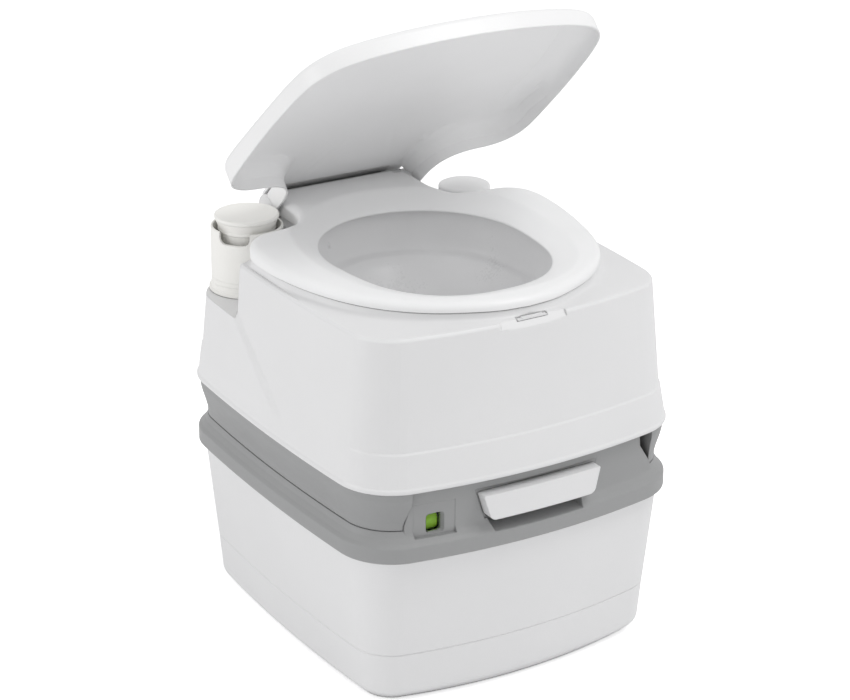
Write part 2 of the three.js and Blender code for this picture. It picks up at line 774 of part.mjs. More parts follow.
function bowl() {
  const outletTopZ = 260; // rings below this are centred on the outlet
  const rings = BOWL_WALL.map(([halfWidth, frontY, backY, z]) =>
    at(egg(halfWidth, frontY, backY, z < outletTopZ ? 0 : -5), z),
  );
  return cut(loft(rings, false), rodY([90, 140], NOZZLE_AXIS, 4.6, 12));
}
add("bowl", bowl(), MATERIAL.bowl);
add("bowl_outlet_seal", tube([210.6, 214.4], CENTRE, [OUTLET_R, 56], 24), MATERIAL.rubber);

// ---------------------------------------------------------------- seat
// A rolled ring with a neck and two hinge knuckles.
function seat() {
  const hole = SEAT_PLAN.map(([x, y]) => {
    const angle = Math.atan2(y + 5, x);
    const sine = Math.sin(angle);
    const cosine = Math.cos(angle);
    const halfWidth = 107;
    const reach = sine < 0 ? 128 : 126;
    const radius = 1 / Math.sqrt((cosine / halfWidth) ** 2 + (sine / reach) ** 2);
    return [radius * cosine, -5 + radius * sine];
  });
  // Ring part of the way from the outer edge (0) to the hole (1).
  const towardsHole = (share) =>
    SEAT_PLAN.map(([x, y], i) => [
      x + (hole[i][0] - x) * share,
      y + (hole[i][1] - y) * share,
    ]);
  const ring = loft(
    [
      at(offset(SEAT_PLAN, 0.8), 397.6),
      at(SEAT_PLAN, 399.4),
      rising(offset(SEAT_PLAN, 1.4), 403.4, 0.6),
      rising(offset(SEAT_PLAN, 5), 406, 0.9),
      rising(towardsHole(0.28), 407.2, 1),
      rising(towardsHole(0.55), 406.6, 0.85),
      rising(towardsHole(0.8), 403.4, 0.4),
      rising(towardsHole(0.96), 399.4, 0.1),
      at(hole, PLINTH_Z),
      at(towardsHole(0.97), 395.4),
      at(towardsHole(0.9), 397.4),
    ],
    false,
  );
  const cleared = cut(
    ring,
    rodX(span(0, 39.2), HINGE, 24.4, 24),
    ...bothSides([65.2, 110]).map((x) => rodX(x, HINGE, 14, 20)),
  );
  const knuckles = bothSides([40, 64]).flatMap((x) => [
    box(x, [160, HINGE_Y], [397.6, 406]),
    rodX(x, HINGE, KNUCKLE_R, 20),
  ]);
  return cut(join(cleared, ...knuckles), rodX(span(0, 66), HINGE, HINGE_BORE_R, 20));
}
add("seat", seat(), MATERIAL.seat);

// ---------------------------------------------------------------- lid
// Lid plan with an S-curve at each rear corner, right half from front to back: x, y.
const LID_HALF = [
  [0, -192.8], [45, -190.4], [88, -183.6], [120, -174.6], [140, -165.2],
  [154, -152.4], [164, -136], [170, -112], [174.4, -74], [177, -34], [177.6, 4],
  [177.2, 40], [175, 64], [168, 79], [157, 88.5], [143, 93.6], [128, 95],
  [114, 97.6], [101.5, 104.2], [93, 115], [88.6, 130], [87.5, 147],
  [87.5, 165.6], [40, 165.6], [0, 165.6],
];

// Shallow dish, drawn closed: up the inside is listed from the crown down to the rim.
function lid() {
  const plan = mirrored(LID_HALF);
  const dish = loft([
    rising(scaled(plan, 0.5), 413, 1),
    rising(offset(plan, 30), 411.6, 1),
    rising(offset(plan, 14), 410, 1),
    rising(offset(plan, 7), 407.4, 0.8),
    rising(offset(plan, 4), 401, 0.3),
    at(offset(plan, 3), LID_RIM_Z),
    at(plan, LID_RIM_Z),
    rising(plan, 405, 0.3),
    rising(offset(plan, 1.8), 408.8, 0.5),
    rising(offset(plan, 6), 411.2, 0.8),
    rising(offset(plan, 18), 413.6, 1),
    rising(scaled(plan, 0.5), 416, 1),
  ]);
  // The back of the neck is open, so that it passes over the seat's neck.
  const open = cut(dish, box(span(0, 83), [150, 200], [380, 416.6]));
  const knuckles = bothSides([12, 38]).flatMap((x) => [
    box(x, [171, HINGE_Y + 5], [402, 420]),
    box(x, [158, 172], [417, 420]),
    rodX(x, HINGE, KNUCKLE_R, 20),
  ]);
  return cut(join(open, ...knuckles), rodX(span(0, 40), HINGE, HINGE_BORE_R, 20));
}

// The group opens the lid about the hinge axis.
const lidTurn = new THREE.Group();
lidTurn.position.set(0, HINGE_Y, HINGE_Z);
lidTurn.rotation.x = -LID_OPEN;
root.add(lidTurn);
add("lid", lid(), MATERIAL.body, lidTurn).position.set(0, -HINGE_Y, -HINGE_Z);

// ---------------------------------------------------------------- hinge
// Lug on the rear deck, bored for the pin.
const hingeLug = ([x0, x1]) =>
  cut(
    join(
      box([x0, x1], [171.5, 190], [REAR_DECK_Z + GAP, HINGE_Z]),
      rodX([x0, x1], HINGE, 10.5, 24),
    ),
    rodX([x0 - 2, x1 + 2], HINGE, HINGE_BORE_R, 20),
  );
const [leftLug, rightLug] = bothSides([66, 90]).map(hingeLug);
const [leftPin, rightPin] = bothSides([11.5, 89]).map((x) =>
  rodX(x, HINGE, HINGE_PIN_R, 16),
);
const pumpClearance = rodZ([330, 420], PUMP, 38.8, 28);
add("hinge_lug_left", cut(leftLug, pumpClearance), MATERIAL.fitting);
add("hinge_pin_left", leftPin, MATERIAL.steel);
add("hinge_lug_right", rightLug, MATERIAL.fitting);
add("hinge_pin_right", rightPin, MATERIAL.steel);

// ---------------------------------------------------------------- flush pump
const [PUMP_X, PUMP_Y] = PUMP;
const PORT_Z = 318; // hose port in the cylinder's +X side
const PISTON_Z = 262; // bottom of the piston and its rod

// Turned profiles: r, z.
const COLLAR_PROFILE = [
  [25.5, PUMP_DECK_Z + GAP], [40.5, PUMP_DECK_Z + GAP], [40.5, 335.2], [38, 336.2],
  [38, 399.6], [37, 401], [35.4, 401], [35, 399], [35, 362], [25.5, 358],
];
const CYLINDER_PROFILE = [
  [21, 250.5], [24, 250.5], [24, 358], [24, 366], [7, 366], [7, 362], [21, 362],
];
const FOOT_VALVE_PROFILE = [[6, 244], [20.6, 244], [20.6, 249.4], [20.4, 255], [6, 255]];
const KNOB_PROFILE = [
  [0, 374], [12, 374], [25.5, 384], [26.5, 398], [31.5, 408], [33.5, 409.4],
  [33.5, 411.8], [32, 413], [0, 413],
];
const PISTON_PROFILE = [
  [5.2, PISTON_Z], [19, PISTON_Z], [19, 265], [17, 265], [17, 268.4], [19, 268.4],
  [19, 272], [5.2, 272],
];

add("pump_collar", turned(COLLAR_PROFILE, PUMP, 22), MATERIAL.collar);
add(
  "pump_cylinder",
  cut(
    turned(CYLINDER_PROFILE, PUMP, 24),
    rodX([PUMP_X + 15, PUMP_X + 30], [PUMP_Y, PORT_Z], 4.6, 12),
  ),
  MATERIAL.pump,
);
add("pump_foot_valve", turned(FOOT_VALVE_PROFILE, PUMP, 24), MATERIAL.piston);
// Knob with a hole for the rod and a scoop at its left front.
add(
  "pump_knob",
  cut(
    turned(KNOB_PROFILE, PUMP, 22),
    rodZ([370, 392], PUMP, 5.2, 16),
    ellipsoid(15, [12, 8], [1, 1, 0.62], [PUMP_X - 20, PUMP_Y - 30, 405]),
  ),
  MATERIAL.knob,
);
add("pump_rod", rodZ([PISTON_Z, 391.6], PUMP, 4.8, 16), MATERIAL.pump);
add("pump_piston", turned(PISTON_PROFILE, PUMP, 18), MATERIAL.piston);
add("pump_piston_seal", tube([265.4, 268], PUMP, [17.4, 20.4], 18), MATERIAL.rubber);

// Hose from the cylinder's port to the nozzle in the bowl's rear wall. Path: x, y, z.
const HOSE_PATH = [
  [PUMP_X + 24.6, PUMP_Y, PORT_Z],
  [PUMP_X + 32, PUMP_Y, PORT_Z],
  [-82, PUMP_Y, 319],
  [-66, PUMP_Y, 328],
  [-57, PUMP_Y, 346],
  [-53, 151.5, 362],
  [-52, 149, 373],
  [-52, 142.4, 374],
];
function flushHose() {
  const section = new THREE.Shape();
  section.absarc(0, 0, 4.4, 0, 2 * Math.PI);
  const bore = new THREE.Path();
  bore.absarc(0, 0, 3, 0, 2 * Math.PI, true);
  section.holes.push(bore);
  return solid(swept(section, HOSE_PATH, 18, 3));
}
add("flush_hose", flushHose(), MATERIAL.hose);
add(
  "flush_nozzle",
  cut(
    join(
      rodY([105, 137], NOZZLE_AXIS, 4.2, 14),
      rodY([137, 141], NOZZLE_AXIS, 6.4, 14),
    ),
    rodY([100, 150], NOZZLE_AXIS, 2.6, 12),
  ),
  MATERIAL.pump,
);

// ---------------------------------------------------------------- water filler
// Cap with fourteen flutes round its side. Profile: r, z.
const FILL_CAP_PROFILE = [
  [24.4, 378], [28, 378], [28, 397.6], [25.6, 400], [0, 400], [0, 396.8], [24.4, 396.8],
];
function fillCap() {
  const fluteCount = 14;
  const flutes = circle(FILLER, 29.4, fluteCount).map((centre) =>
    rodZ([377, 396], centre, 2.4, 6),
  );
  return cut(turned(FILL_CAP_PROFILE, FILLER, 32), ...flutes);
}
add("fill_cap", fillCap(), MATERIAL.fitting);
add("fill_cap_seal", tube([393.6, 396.4], FILLER, [20.2, 23.9], 28), MATERIAL.rubber);

export default root;
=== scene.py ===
import bpy, bmesh, math
import numpy as np
from mathutils import Matrix, Vector


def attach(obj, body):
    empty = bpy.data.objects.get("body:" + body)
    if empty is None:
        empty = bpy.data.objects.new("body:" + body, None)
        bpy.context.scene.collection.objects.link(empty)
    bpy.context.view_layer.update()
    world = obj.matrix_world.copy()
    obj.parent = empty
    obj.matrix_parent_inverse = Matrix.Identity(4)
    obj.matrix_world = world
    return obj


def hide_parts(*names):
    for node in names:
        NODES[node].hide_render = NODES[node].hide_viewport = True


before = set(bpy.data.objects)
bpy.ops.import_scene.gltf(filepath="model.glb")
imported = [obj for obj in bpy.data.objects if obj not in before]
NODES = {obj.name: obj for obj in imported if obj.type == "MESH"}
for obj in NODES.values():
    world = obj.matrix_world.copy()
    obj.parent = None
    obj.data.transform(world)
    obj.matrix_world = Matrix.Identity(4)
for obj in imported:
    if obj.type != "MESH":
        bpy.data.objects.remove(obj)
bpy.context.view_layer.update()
MM = 0.001
PI = math.pi

# ------------------------------------------------------------------ sizes, in mm, as in the CAD part
WIDTH, DEPTH, BOW_FRONT, BOW_SIDE, CORNER_R = 383.0, 427.0, 24.906, 10.441, 61.019
RIM_Z, CREASE_Z, DECK_Z, PLINTH_Z = 237.4, 277.0, 388.65, 396.5
REAR_DECK_Z, PUMP_DECK_Z, REAR_STRIP_Y = 376.0, 332.0, 163.0
HINGE = (180.8, 400.0)
LID_OPEN = math.radians(42.5)
PUMP, FILL = (-126.0, 151.0), (137.5, 149.0)
ROLL_R = 17.0  # roll of the seat's neck about the hinge
CENTRE = (0.0, -10.0)  # every plan curve is sampled round this point


def smooth(t):
    t = np.clip(t, 0, 1)
    return t * t * (3 - 2 * t)


def rise(y):
    return 7.0 * smooth((np.asarray(y, float) + 60) / 150)


# ------------------------------------------------------------------ plan curves
def outline(inset, nf=16, nr=18, ns=14):
    a, b, r = WIDTH / 2 - inset, DEPTH / 2 - inset, max(CORNER_R - inset, 5)
    RF, RS = (a * a + BOW_FRONT**2) / (2 * BOW_FRONT), (b * b + BOW_SIDE**2) / (2 * BOW_SIDE)
    cf, cr, r1, r2 = np.array([0, -b + RF]), np.array([a - RS, 0.0]), RF - r, RS - r
    d = cr - cf
    D = np.hypot(*d)
    k = (r1 * r1 - r2 * r2 + D * D) / (2 * D)
    h = math.sqrt(max(r1 * r1 - k * k, 0))
    u = d / D
    p = cf + u * k
    q = np.array([-u[1], u[0]]) * h
    c = [x for x in (p + q, p - q) if x[0] > 0 and x[1] < 0][0]
    aF, aR = math.atan2(c[1] - cf[1], c[0] - cf[0]), math.atan2(c[1] - cr[1], c[0] - cr[0])

    def arc(m, R, t0, t1, n, first):
        return [(m[0] + R * math.cos(t0 + (t1 - t0) * i / n), m[1] + R * math.sin(t0 + (t1 - t0) * i / n)) for i in range(first, n + 1)]

    quarter = arc(cf, RF, -PI / 2, aF, nf, 0) + arc(c, r, aF, aR, nr, 1) + arc(cr, RS, aR, 0, ns, 1)
    right = quarter + [(x, -y) for x, y in quarter[:-1][::-1]]
    return np.array(right + [(-x, y) for x, y in right[1:-1][::-1]])


def spline(pts, per=10):
    """Centripetal Catmull-Rom curve through an open list of points."""
    P = np.array(pts, float)
    P = np.vstack([2 * P[0] - P[1], P, 2 * P[-1] - P[-2]])
    out = []
    for i in range(1, len(P) - 2):
        p = P[i - 1 : i + 3]
        t = np.concatenate([[0], np.cumsum(np.sqrt(np.linalg.norm(np.diff(p, axis=0), axis=1)) + 1e-9)])
        s = np.linspace(t[1], t[2], per, endpoint=False)[:, None]
        a1 = (t[1] - s) / (t[1] - t[0]) * p[0] + (s - t[0]) / (t[1] - t[0]) * p[1]
        a2 = (t[2] - s) / (t[2] - t[1]) * p[1] + (s - t[1]) / (t[2] - t[1]) * p[2]
        a3 = (t[3] - s) / (t[3] - t[2]) * p[2] + (s - t[2]) / (t[3] - t[2]) * p[3]
        b1 = (t[2] - s) / (t[2] - t[0]) * a1 + (s - t[0]) / (t[2] - t[0]) * a2
        b2 = (t[3] - s) / (t[3] - t[1]) * a2 + (s - t[1]) / (t[3] - t[1]) * a3
        out.append((t[2] - s) / (t[2] - t[1]) * b1 + (s - t[1]) / (t[2] - t[1]) * b2)
    return np.vstack(out + [P[-2:-1]])


def resample(line, n):
    seg = np.linalg.norm(np.diff(line, axis=0), axis=1)
    s = np.concatenate([[0], np.cumsum(seg)])
    t = np.linspace(0, s[-1], n)
    return np.stack([np.interp(t, s, line[:, k]) for k in range(line.shape[1])], 1)


def whole(half, tail):
    """Open plan curve from the left rear round the front to the right rear; tail is the straight part of the neck."""
    h = np.vstack([spline(half), tail])
    return np.vstack([h[::-1] * [-1, 1], h[1:]])


def inward(line, d):
    """Moves an open, anticlockwise plan curve inwards."""
    t = np.gradient(line, axis=0)
    t /= np.linalg.norm(t, axis=1)[:, None] + 1e-12
    return line + np.stack([-t[:, 1], t[:, 0]], 1) * d


def polar_angles(line):
    a = np.degrees(np.arctan2(line[:, 1] - CENTRE[1], line[:, 0] - CENTRE[0]))
    return np.where(a > 90, a - 360, a)


def radius(line, th):
    a, r = polar_angles(line), np.hypot(line[:, 0] - CENTRE[0], line[:, 1] - CENTRE[1])
    o = np.argsort(a, kind="stable")
    return np.interp(th, a[o], r[o])


def at_polar(th, r):
    t = np.radians(th)
    return np.stack([CENTRE[0] + r * np.cos(t), CENTRE[1] + r * np.sin(t)], 1)


def rear_radius(th, y):
    s = np.sin(np.radians(th))
    return np.where(s > 0.05, (y - CENTRE[1]) / np.maximum(s, 0.05), 1e6)


def distance(P, line):
    """Unsigned distance of plan points to an open plan curve."""
    A, B = line[:-1], line[1:]
    AB = B - A
    L = (AB**2).sum(1) + 1e-12
    out = np.empty(len(P))
    for i in range(0, len(P), 512):
        p = P[i : i + 512, None, :]
        t = np.clip(((p - A) * AB).sum(2) / L, 0, 1)
        out[i : i + 512] = np.sqrt((((A + AB * t[..., None]) - p) ** 2).sum(2)).min(1)
    return out


def egg(a, yf, yb, cy, n=144):
    t = -PI / 2 + 2 * PI * np.arange(n) / n
    s = np.sin(t)
    return np.stack([a * np.cos(t), cy + np.where(s < 0, cy - yf, yb - cy) * s], 1)


def lift(plan, z):
    return np.column_stack([plan, np.broadcast_to(z, len(plan))])


def rounded(pts, steps=5):
    """Profile of (u, v, radius) points with its corners turned into arcs."""
    out = []
    n = len(pts)
    for i, (x, y, *r) in enumerate(pts):
        r = r[0] if r else 0
        if r <= 0 or i in (0, n - 1):
            out.append((x, y))
            continue
        p, a, b = np.array([x, y], float), np.array(pts[i - 1][:2], float), np.array(pts[i + 1][:2], float)
        u, v = (a - p) / np.linalg.norm(a - p), (b - p) / np.linalg.norm(b - p)
        half = math.acos(max(-1, min(1, float(u @ v)))) / 2
        if half > PI / 2 - 0.01:
            out.append((x, y))
            continue
        d = min(r / math.tan(half), 0.48 * np.linalg.norm(a - p), 0.48 * np.linalg.norm(b - p))
        rr = d * math.tan(half)
        c = p + (u + v) / np.linalg.norm(u + v) * (rr / math.sin(half))
        s, e = p + u * d - c, p + v * d - c
        w = math.acos(max(-1, min(1, float(s @ e) / (rr * rr))))
        for k in range(steps + 1):
            t = k / steps
            q = c + (math.sin((1 - t) * w) * s + math.sin(t * w) * e) / math.sin(w) if w > 1e-4 else c + s
            out.append((float(q[0]), float(q[1])))
    return out


# ------------------------------------------------------------------ meshes
def new_object(name, verts, faces):
    me = bpy.data.meshes.new(name)
    me.from_pydata([tuple(v) for v in np.asarray(verts, float) * MM], [], faces)
    ob = bpy.data.objects.new(name, me)
    bpy.context.scene.collection.objects.link(ob)
    return tidy(ob)


def tidy(ob, merge=0.00001):
    bm = bmesh.new()
    bm.from_mesh(ob.data)
    bmesh.ops.remove_doubles(bm, verts=bm.verts, dist=merge)
    bmesh.ops.dissolve_degenerate(bm, edges=bm.edges, dist=merge)
    loose = [v for v in bm.verts if not v.link_faces]
    if loose:
        bmesh.ops.delete(bm, geom=loose, context="VERTS")
    bmesh.ops.recalc_face_normals(bm, faces=bm.faces)
    bm.to_mesh(ob.data)
    bm.free()
    return ob


def skin(name, rings, caps=True):
    n, m = len(rings[0]), len(rings)
    faces = []
    for i in range(m - 1 if caps else m):
        k = (i + 1) % m
        for j in range(n):
            faces.append((i * n + j, i * n + (j + 1) % n, k * n + (j + 1) % n, k * n + j))
    if caps:
        faces.append(tuple(range(n - 1, -1, -1)))
        faces.append(tuple(range((m - 1) * n, m * n)))
    return new_object(name, np.vstack(rings), faces)


def prism(name, poly, z0, z1):
    return skin(name, [lift(np.asarray(poly, float), z0), lift(np.asarray(poly, float), z1)])


def box(name, x0, x1, y0, y1, z0, z1):
    return prism(name, [(x0, y0), (x1, y0), (x1, y1), (x0, y1)], z0, z1)


def lathe(name, profile, x=0.0, y=0.0, n=96, ripple=None):
    """Closed profile of (r, z) about a vertical axis; points at r = 0 end it."""
    t = 2 * PI * np.arange(n) / n
    closed = profile[0][0] > 0
    rings = []
    for r, z in profile:
        rr = np.full(n, max(r, 1e-4), float)
        if ripple is not None:
            rr = ripple(rr, t, z)
        rings.append(np.column_stack([x + rr * np.cos(t), y + rr * np.sin(t), np.full(n, z)]))
    return skin(name, rings, caps=not closed)


def extrude_x(name, poly_yz, x0, x1):
    p = np.asarray(poly_yz, float)
    a = np.column_stack([np.full(len(p), x0), p])
    b = np.column_stack([np.full(len(p), x1), p])
    n = len(p)
    faces = [(j, (j + 1) % n, n + (j + 1) % n, n + j) for j in range(n)]
    faces += [tuple(range(n - 1, -1, -1)), tuple(range(n, 2 * n))]
    return new_object(name, np.vstack([a, b]), faces)


def rod(name, axis, centre, r, a, b, n=48):
    """Rod along x, y or z, used as a cutter or as a base for more work."""
    t = 2 * PI * np.arange(n) / n
    c, s = r * np.cos(t), r * np.sin(t)
    ends = []
    for e in (a, b):
        k = {"x": (np.full(n, e), centre[0] + c, centre[1] + s), "y": (centre[0] + c, np.full(n, e), centre[1] + s), "z": (centre[0] + c, centre[1] + s, np.full(n, e))}[axis]
        ends.append(np.column_stack(k))
    return skin(name, ends)


def bake(ob):
    dg = bpy.context.evaluated_depsgraph_get()
    me = bpy.data.meshes.new_from_object(ob.evaluated_get(dg), depsgraph=dg)
    old = ob.data
    ob.modifiers.clear()
    ob.data = me
    me.name = ob.name
    bpy.data.meshes.remove(old)
    return ob


def gone(*obs):
    for o in obs:
        me = o.data
        bpy.data.objects.remove(o)
        bpy.data.meshes.remove(me)


def boolean(ob, others, op="DIFFERENCE"):
    for c in others:
        m = ob.modifiers.new("b", "BOOLEAN")
        m.object, m.operation, m.solver = c, op, "EXACT"
        bpy.context.view_layer.update()
        bake(ob)
        tidy(ob, 0.000004)
    gone(*others)
    return ob


def cut(ob, *others):
    return boolean(ob, others)


def join(ob, *others):
    return boolean(ob, others, "UNION")


def bevel(ob, width, segments=3, angle=40, clamp=True):
    m = ob.modifiers.new("bevel", "BEVEL")
    m.width, m.segments, m.limit_method = width * MM, segments, "ANGLE"
    m.angle_limit, m.use_clamp_overlap = math.radians(angle), clamp
    m.miter_outer = "MITER_ARC"
    bpy.context.view_layer.update()
    bake(ob)
    return tidy(ob, 0.000002)


def shade(ob, angle=32, weighted=True):
    for p in ob.data.polygons:
        p.use_smooth = True
    ob.data.set_sharp_from_angle(angle=math.radians(angle))
    if weighted:
        m = ob.modifiers.new("normals", "WEIGHTED_NORMAL")
        m.keep_sharp, m.weight, m.mode = True, 60, "FACE_AREA_WITH_ANGLE"
    return ob


def place(ob, body, slot_name, material, *nodes, angle=32, weighted=True):
    shade(ob, angle, weighted)
    ob.data.materials.clear()
    ob.data.materials.append(material)
    for p in ob.data.polygons:
        p.material_index = 0
    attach(ob, body)
    if nodes:
        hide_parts(*nodes)
    return ob


# ------------------------------------------------------------------ materials
def link(nt, a, b):
    nt.links.new(a, b)


def plastic(name, colour, rough=0.34, tint=0.015, grain=1100.0, grain_depth=0.03, edge=0.25, haze=0.05, scuff=0.10, coat=0.0, sss=0.0, spec=0.5, painted_crease_shade=0.75):
    """Moulded plastic: slow colour drift, fine mould grain, hairline scuffs, worn lighter edges, and painted shade that
    darkens the creases and gaps.
    """
    mat = bpy.data.materials.new(name)
    mat.use_nodes = True
    nt = mat.node_tree
    nt.nodes.clear()
    N = nt.nodes.new
    out, bsdf = N("ShaderNodeOutputMaterial"), N("ShaderNodeBsdfPrincipled")
    link(nt, bsdf.outputs[0], out.inputs[0])
    co = N("ShaderNodeTexCoord").outputs["Object"]

    def noise(scale, detail=3.0, rough_=0.55, src=co, stretch=None):
        if stretch:
            mp = N("ShaderNodeMapping")
            mp.inputs["Scale"].default_value = stretch
            link(nt, src, mp.inputs["Vector"])
            src = mp.outputs[0]
        n = N("ShaderNodeTexNoise")
        n.inputs["Scale"].default_value, n.inputs["Detail"].default_value, n.inputs["Roughness"].default_value = scale, detail, rough_
        link(nt, src, n.inputs["Vector"])
        return n.outputs["Fac"]

    def remap(src, a, b, lo, hi):
        m = N("ShaderNodeMapRange")
        m.inputs[1].default_value, m.inputs[2].default_value, m.inputs[3].default_value, m.inputs[4].default_value = a, b, lo, hi
        link(nt, src, m.inputs[0])
        return m.outputs[0]

    def math_(op, a, b):
        m = N("ShaderNodeMath")
        m.operation = op
        for i, v in enumerate((a, b)):
            if isinstance(v, (int, float)):
                m.inputs[i].default_value = v
            else:
                link(nt, v, m.inputs[i])
        return m.outputs[0]

    def mix(fac, a, b):
        m = N("ShaderNodeMix")
        m.data_type = "RGBA"
        link(nt, fac, m.inputs[0])
        for i, v in ((6, a), (7, b)):
            if isinstance(v, tuple):
                m.inputs[i].default_value = v
            else:
                link(nt, v, m.inputs[i])
        return m.outputs[2]

    c = np.array(colour[:3])
    dark, light = tuple(c * (1 - tint)) + (1,), tuple(np.minimum(c * (1 + tint), 1)) + (1,)
    body = mix(remap(noise(7, 4), 0.3, 0.7, 0, 1), dark, light)
    # fine mould speckle
    speck = remap(noise(grain * 0.6, 2, 0.6), 0.35, 0.65, 0, 1)
    body = mix(math_("MULTIPLY", speck, 0.35), body, tuple(c * (1 - tint * 1.6)) + (1,))
    # edges rub lighter; creases, seams and gaps get painted shade from an ambient-occlusion mask
    bev, geo, dot = N("ShaderNodeBevel"), N("ShaderNodeNewGeometry"), N("ShaderNodeVectorMath")
    bev.samples = 4
    bev.inputs["Radius"].default_value = 0.0016
    dot.operation = "DOT_PRODUCT"
    link(nt, bev.outputs[0], dot.inputs[0])
    link(nt, geo.outputs["Normal"], dot.inputs[1])
    worn = remap(dot.outputs["Value"], 0.995, 0.86, 0, 1)
    worn = math_("MULTIPLY", worn, remap(noise(60, 5, 0.7), 0.38, 0.62, 0.15, 1))
    pale = tuple(np.minimum(c * 1.10 + 0.015, 1)) + (1,)
    body = mix(math_("MULTIPLY", worn, edge), body, pale)
    if painted_crease_shade > 0:
        # painted shade: where ambient occlusion finds a crease, seam or gap, the colour is pulled towards a near-black
        # copy of itself, broken up slightly by noise
        ao = N("ShaderNodeAmbientOcclusion")
        ao.samples = 4
        ao.inputs["Distance"].default_value = 0.009
        crease_shade_mask = math_("MULTIPLY", remap(ao.outputs["AO"], 0.42, 0.12, 0, 1), remap(noise(38, 5, 0.65), 0.35, 0.7, 0.75, 1))
        body = mix(math_("MULTIPLY", crease_shade_mask, painted_crease_shade), body, tuple(c * np.array([0.16, 0.16, 0.155])) + (1,))
    link(nt, body, bsdf.inputs["Base Color"])
    # gloss: broad hand marks, fine grain and hairline scuffs in two directions
    r = remap(noise(9, 4, 0.6), 0.3, 0.7, rough - haze, rough + haze)
    r = math_("ADD", r, remap(noise(grain * 0.35, 2), 0.3, 0.7, -0.02, 0.02))
    s1 = remap(noise(30, 6, 0.75, stretch=(1, 22, 9)), 0.60, 0.72, 0, 1)
    s2 = remap(noise(26, 6, 0.75, stretch=(18, 1.5, 14)), 0.62, 0.73, 0, 1)
    scratch = math_("MULTIPLY", math_("MAXIMUM", s1, s2), remap(noise(5, 3), 0.45, 0.65, 0, 1))
    r = math_("ADD", r, math_("MULTIPLY", scratch, scuff))
    r = math_("ADD", r, math_("MULTIPLY", worn, 0.06))
    link(nt, r, bsdf.inputs["Roughness"])
    # relief: mould grain, and the slight waviness of a moulded wall
    b1, b2 = N("ShaderNodeBump"), N("ShaderNodeBump")
    b1.inputs["Strength"].default_value, b1.inputs["Distance"].default_value = 0.10, 0.004
    b2.inputs["Strength"].default_value, b2.inputs["Distance"].default_value = 0.35, grain_depth * 0.001
    link(nt, noise(16, 2, 0.4), b1.inputs["Height"])
    link(nt, noise(grain, 3, 0.6), b2.inputs["Height"])
    link(nt, bev.outputs[0], b1.inputs["Normal"])
    link(nt, b1.outputs[0], b2.inputs["Normal"])
    link(nt, b2.outputs[0], bsdf.inputs["Normal"])
    bsdf.inputs["Specular IOR Level"].default_value = spec
    bsdf.inputs["IOR"].default_value = 1.5
    if coat:
        bsdf.inputs["Coat Weight"].default_value = coat
        bsdf.inputs["Coat Roughness"].default_value = 0.12
    if sss:
        bsdf.inputs["Subsurface Weight"].default_value = sss
        bsdf.inputs["Subsurface Radius"].default_value = (0.006, 0.006, 0.0055)
        bsdf.inputs["Subsurface Scale"].default_value = 1.0
    mat.diffuse_color = tuple(c) + (1,)
    return mat


def metal(name, colour, rough=0.28):
    mat = bpy.data.materials.new(name)
    mat.use_nodes = True
    nt = mat.node_tree
    bsdf = nt.nodes["Principled BSDF"]
    N = nt.nodes.new
    co, mp, n1, n2 = N("ShaderNodeTexCoord"), N("ShaderNodeMapping"), N("ShaderNodeTexNoise"), N("ShaderNodeTexNoise")
    mp.inputs["Scale"].default_value = (3, 60, 60)
    link(nt, co.outputs["Object"], mp.inputs[0])
    link(nt, mp.outputs[0], n1.inputs["Vector"])
    link(nt, co.outputs["Object"], n2.inputs["Vector"])
    n1.inputs["Scale"].default_value, n2.inputs["Scale"].default_value = 30, 90
    r, c = N("ShaderNodeMapRange"), N("ShaderNodeMix")
    r.inputs[3].default_value, r.inputs[4].default_value = rough - 0.08, rough + 0.15
    link(nt, n1.outputs["Fac"], r.inputs[0])
    link(nt, r.outputs[0], bsdf.inputs["Roughness"])
    c.data_type = "RGBA"
    c.inputs[6].default_value = tuple(np.array(colour) * 0.85) + (1,)
    c.inputs[7].default_value = tuple(colour) + (1,)
    link(nt, n2.outputs["Fac"], c.inputs[0])
    link(nt, c.outputs[2], bsdf.inputs["Base Color"])
    bp = N("ShaderNodeBump")
    bp.inputs["Strength"].default_value, bp.inputs["Distance"].default_value = 0.2, 0.00005
    link(nt, n1.outputs["Fac"], bp.inputs["Height"])
    link(nt, bp.outputs[0], bsdf.inputs["Normal"])
    bsdf.inputs["Metallic"].default_value = 1
    return mat


def clear(name, colour):
    mat = bpy.data.materials.new(name)
    mat.use_nodes = True
    nt = mat.node_tree
    bsdf = nt.nodes["Principled BSDF"]
    N = nt.nodes.new
    co, n, r = N("ShaderNodeTexCoord"), N("ShaderNodeTexNoise"), N("ShaderNodeMapRange")
    n.inputs["Scale"].default_value = 120
    link(nt, co.outputs["Object"], n.inputs["Vector"])
    r.inputs[3].default_value, r.inputs[4].default_value = 0.02, 0.14
    link(nt, n.outputs["Fac"], r.inputs[0])
    link(nt, r.outputs[0], bsdf.inputs["Roughness"])
    bsdf.inputs["Base Color"].default_value = tuple(colour) + (1,)
    bsdf.inputs["Transmission Weight"].default_value = 1
    bsdf.inputs["IOR"].default_value = 1.1
    return mat
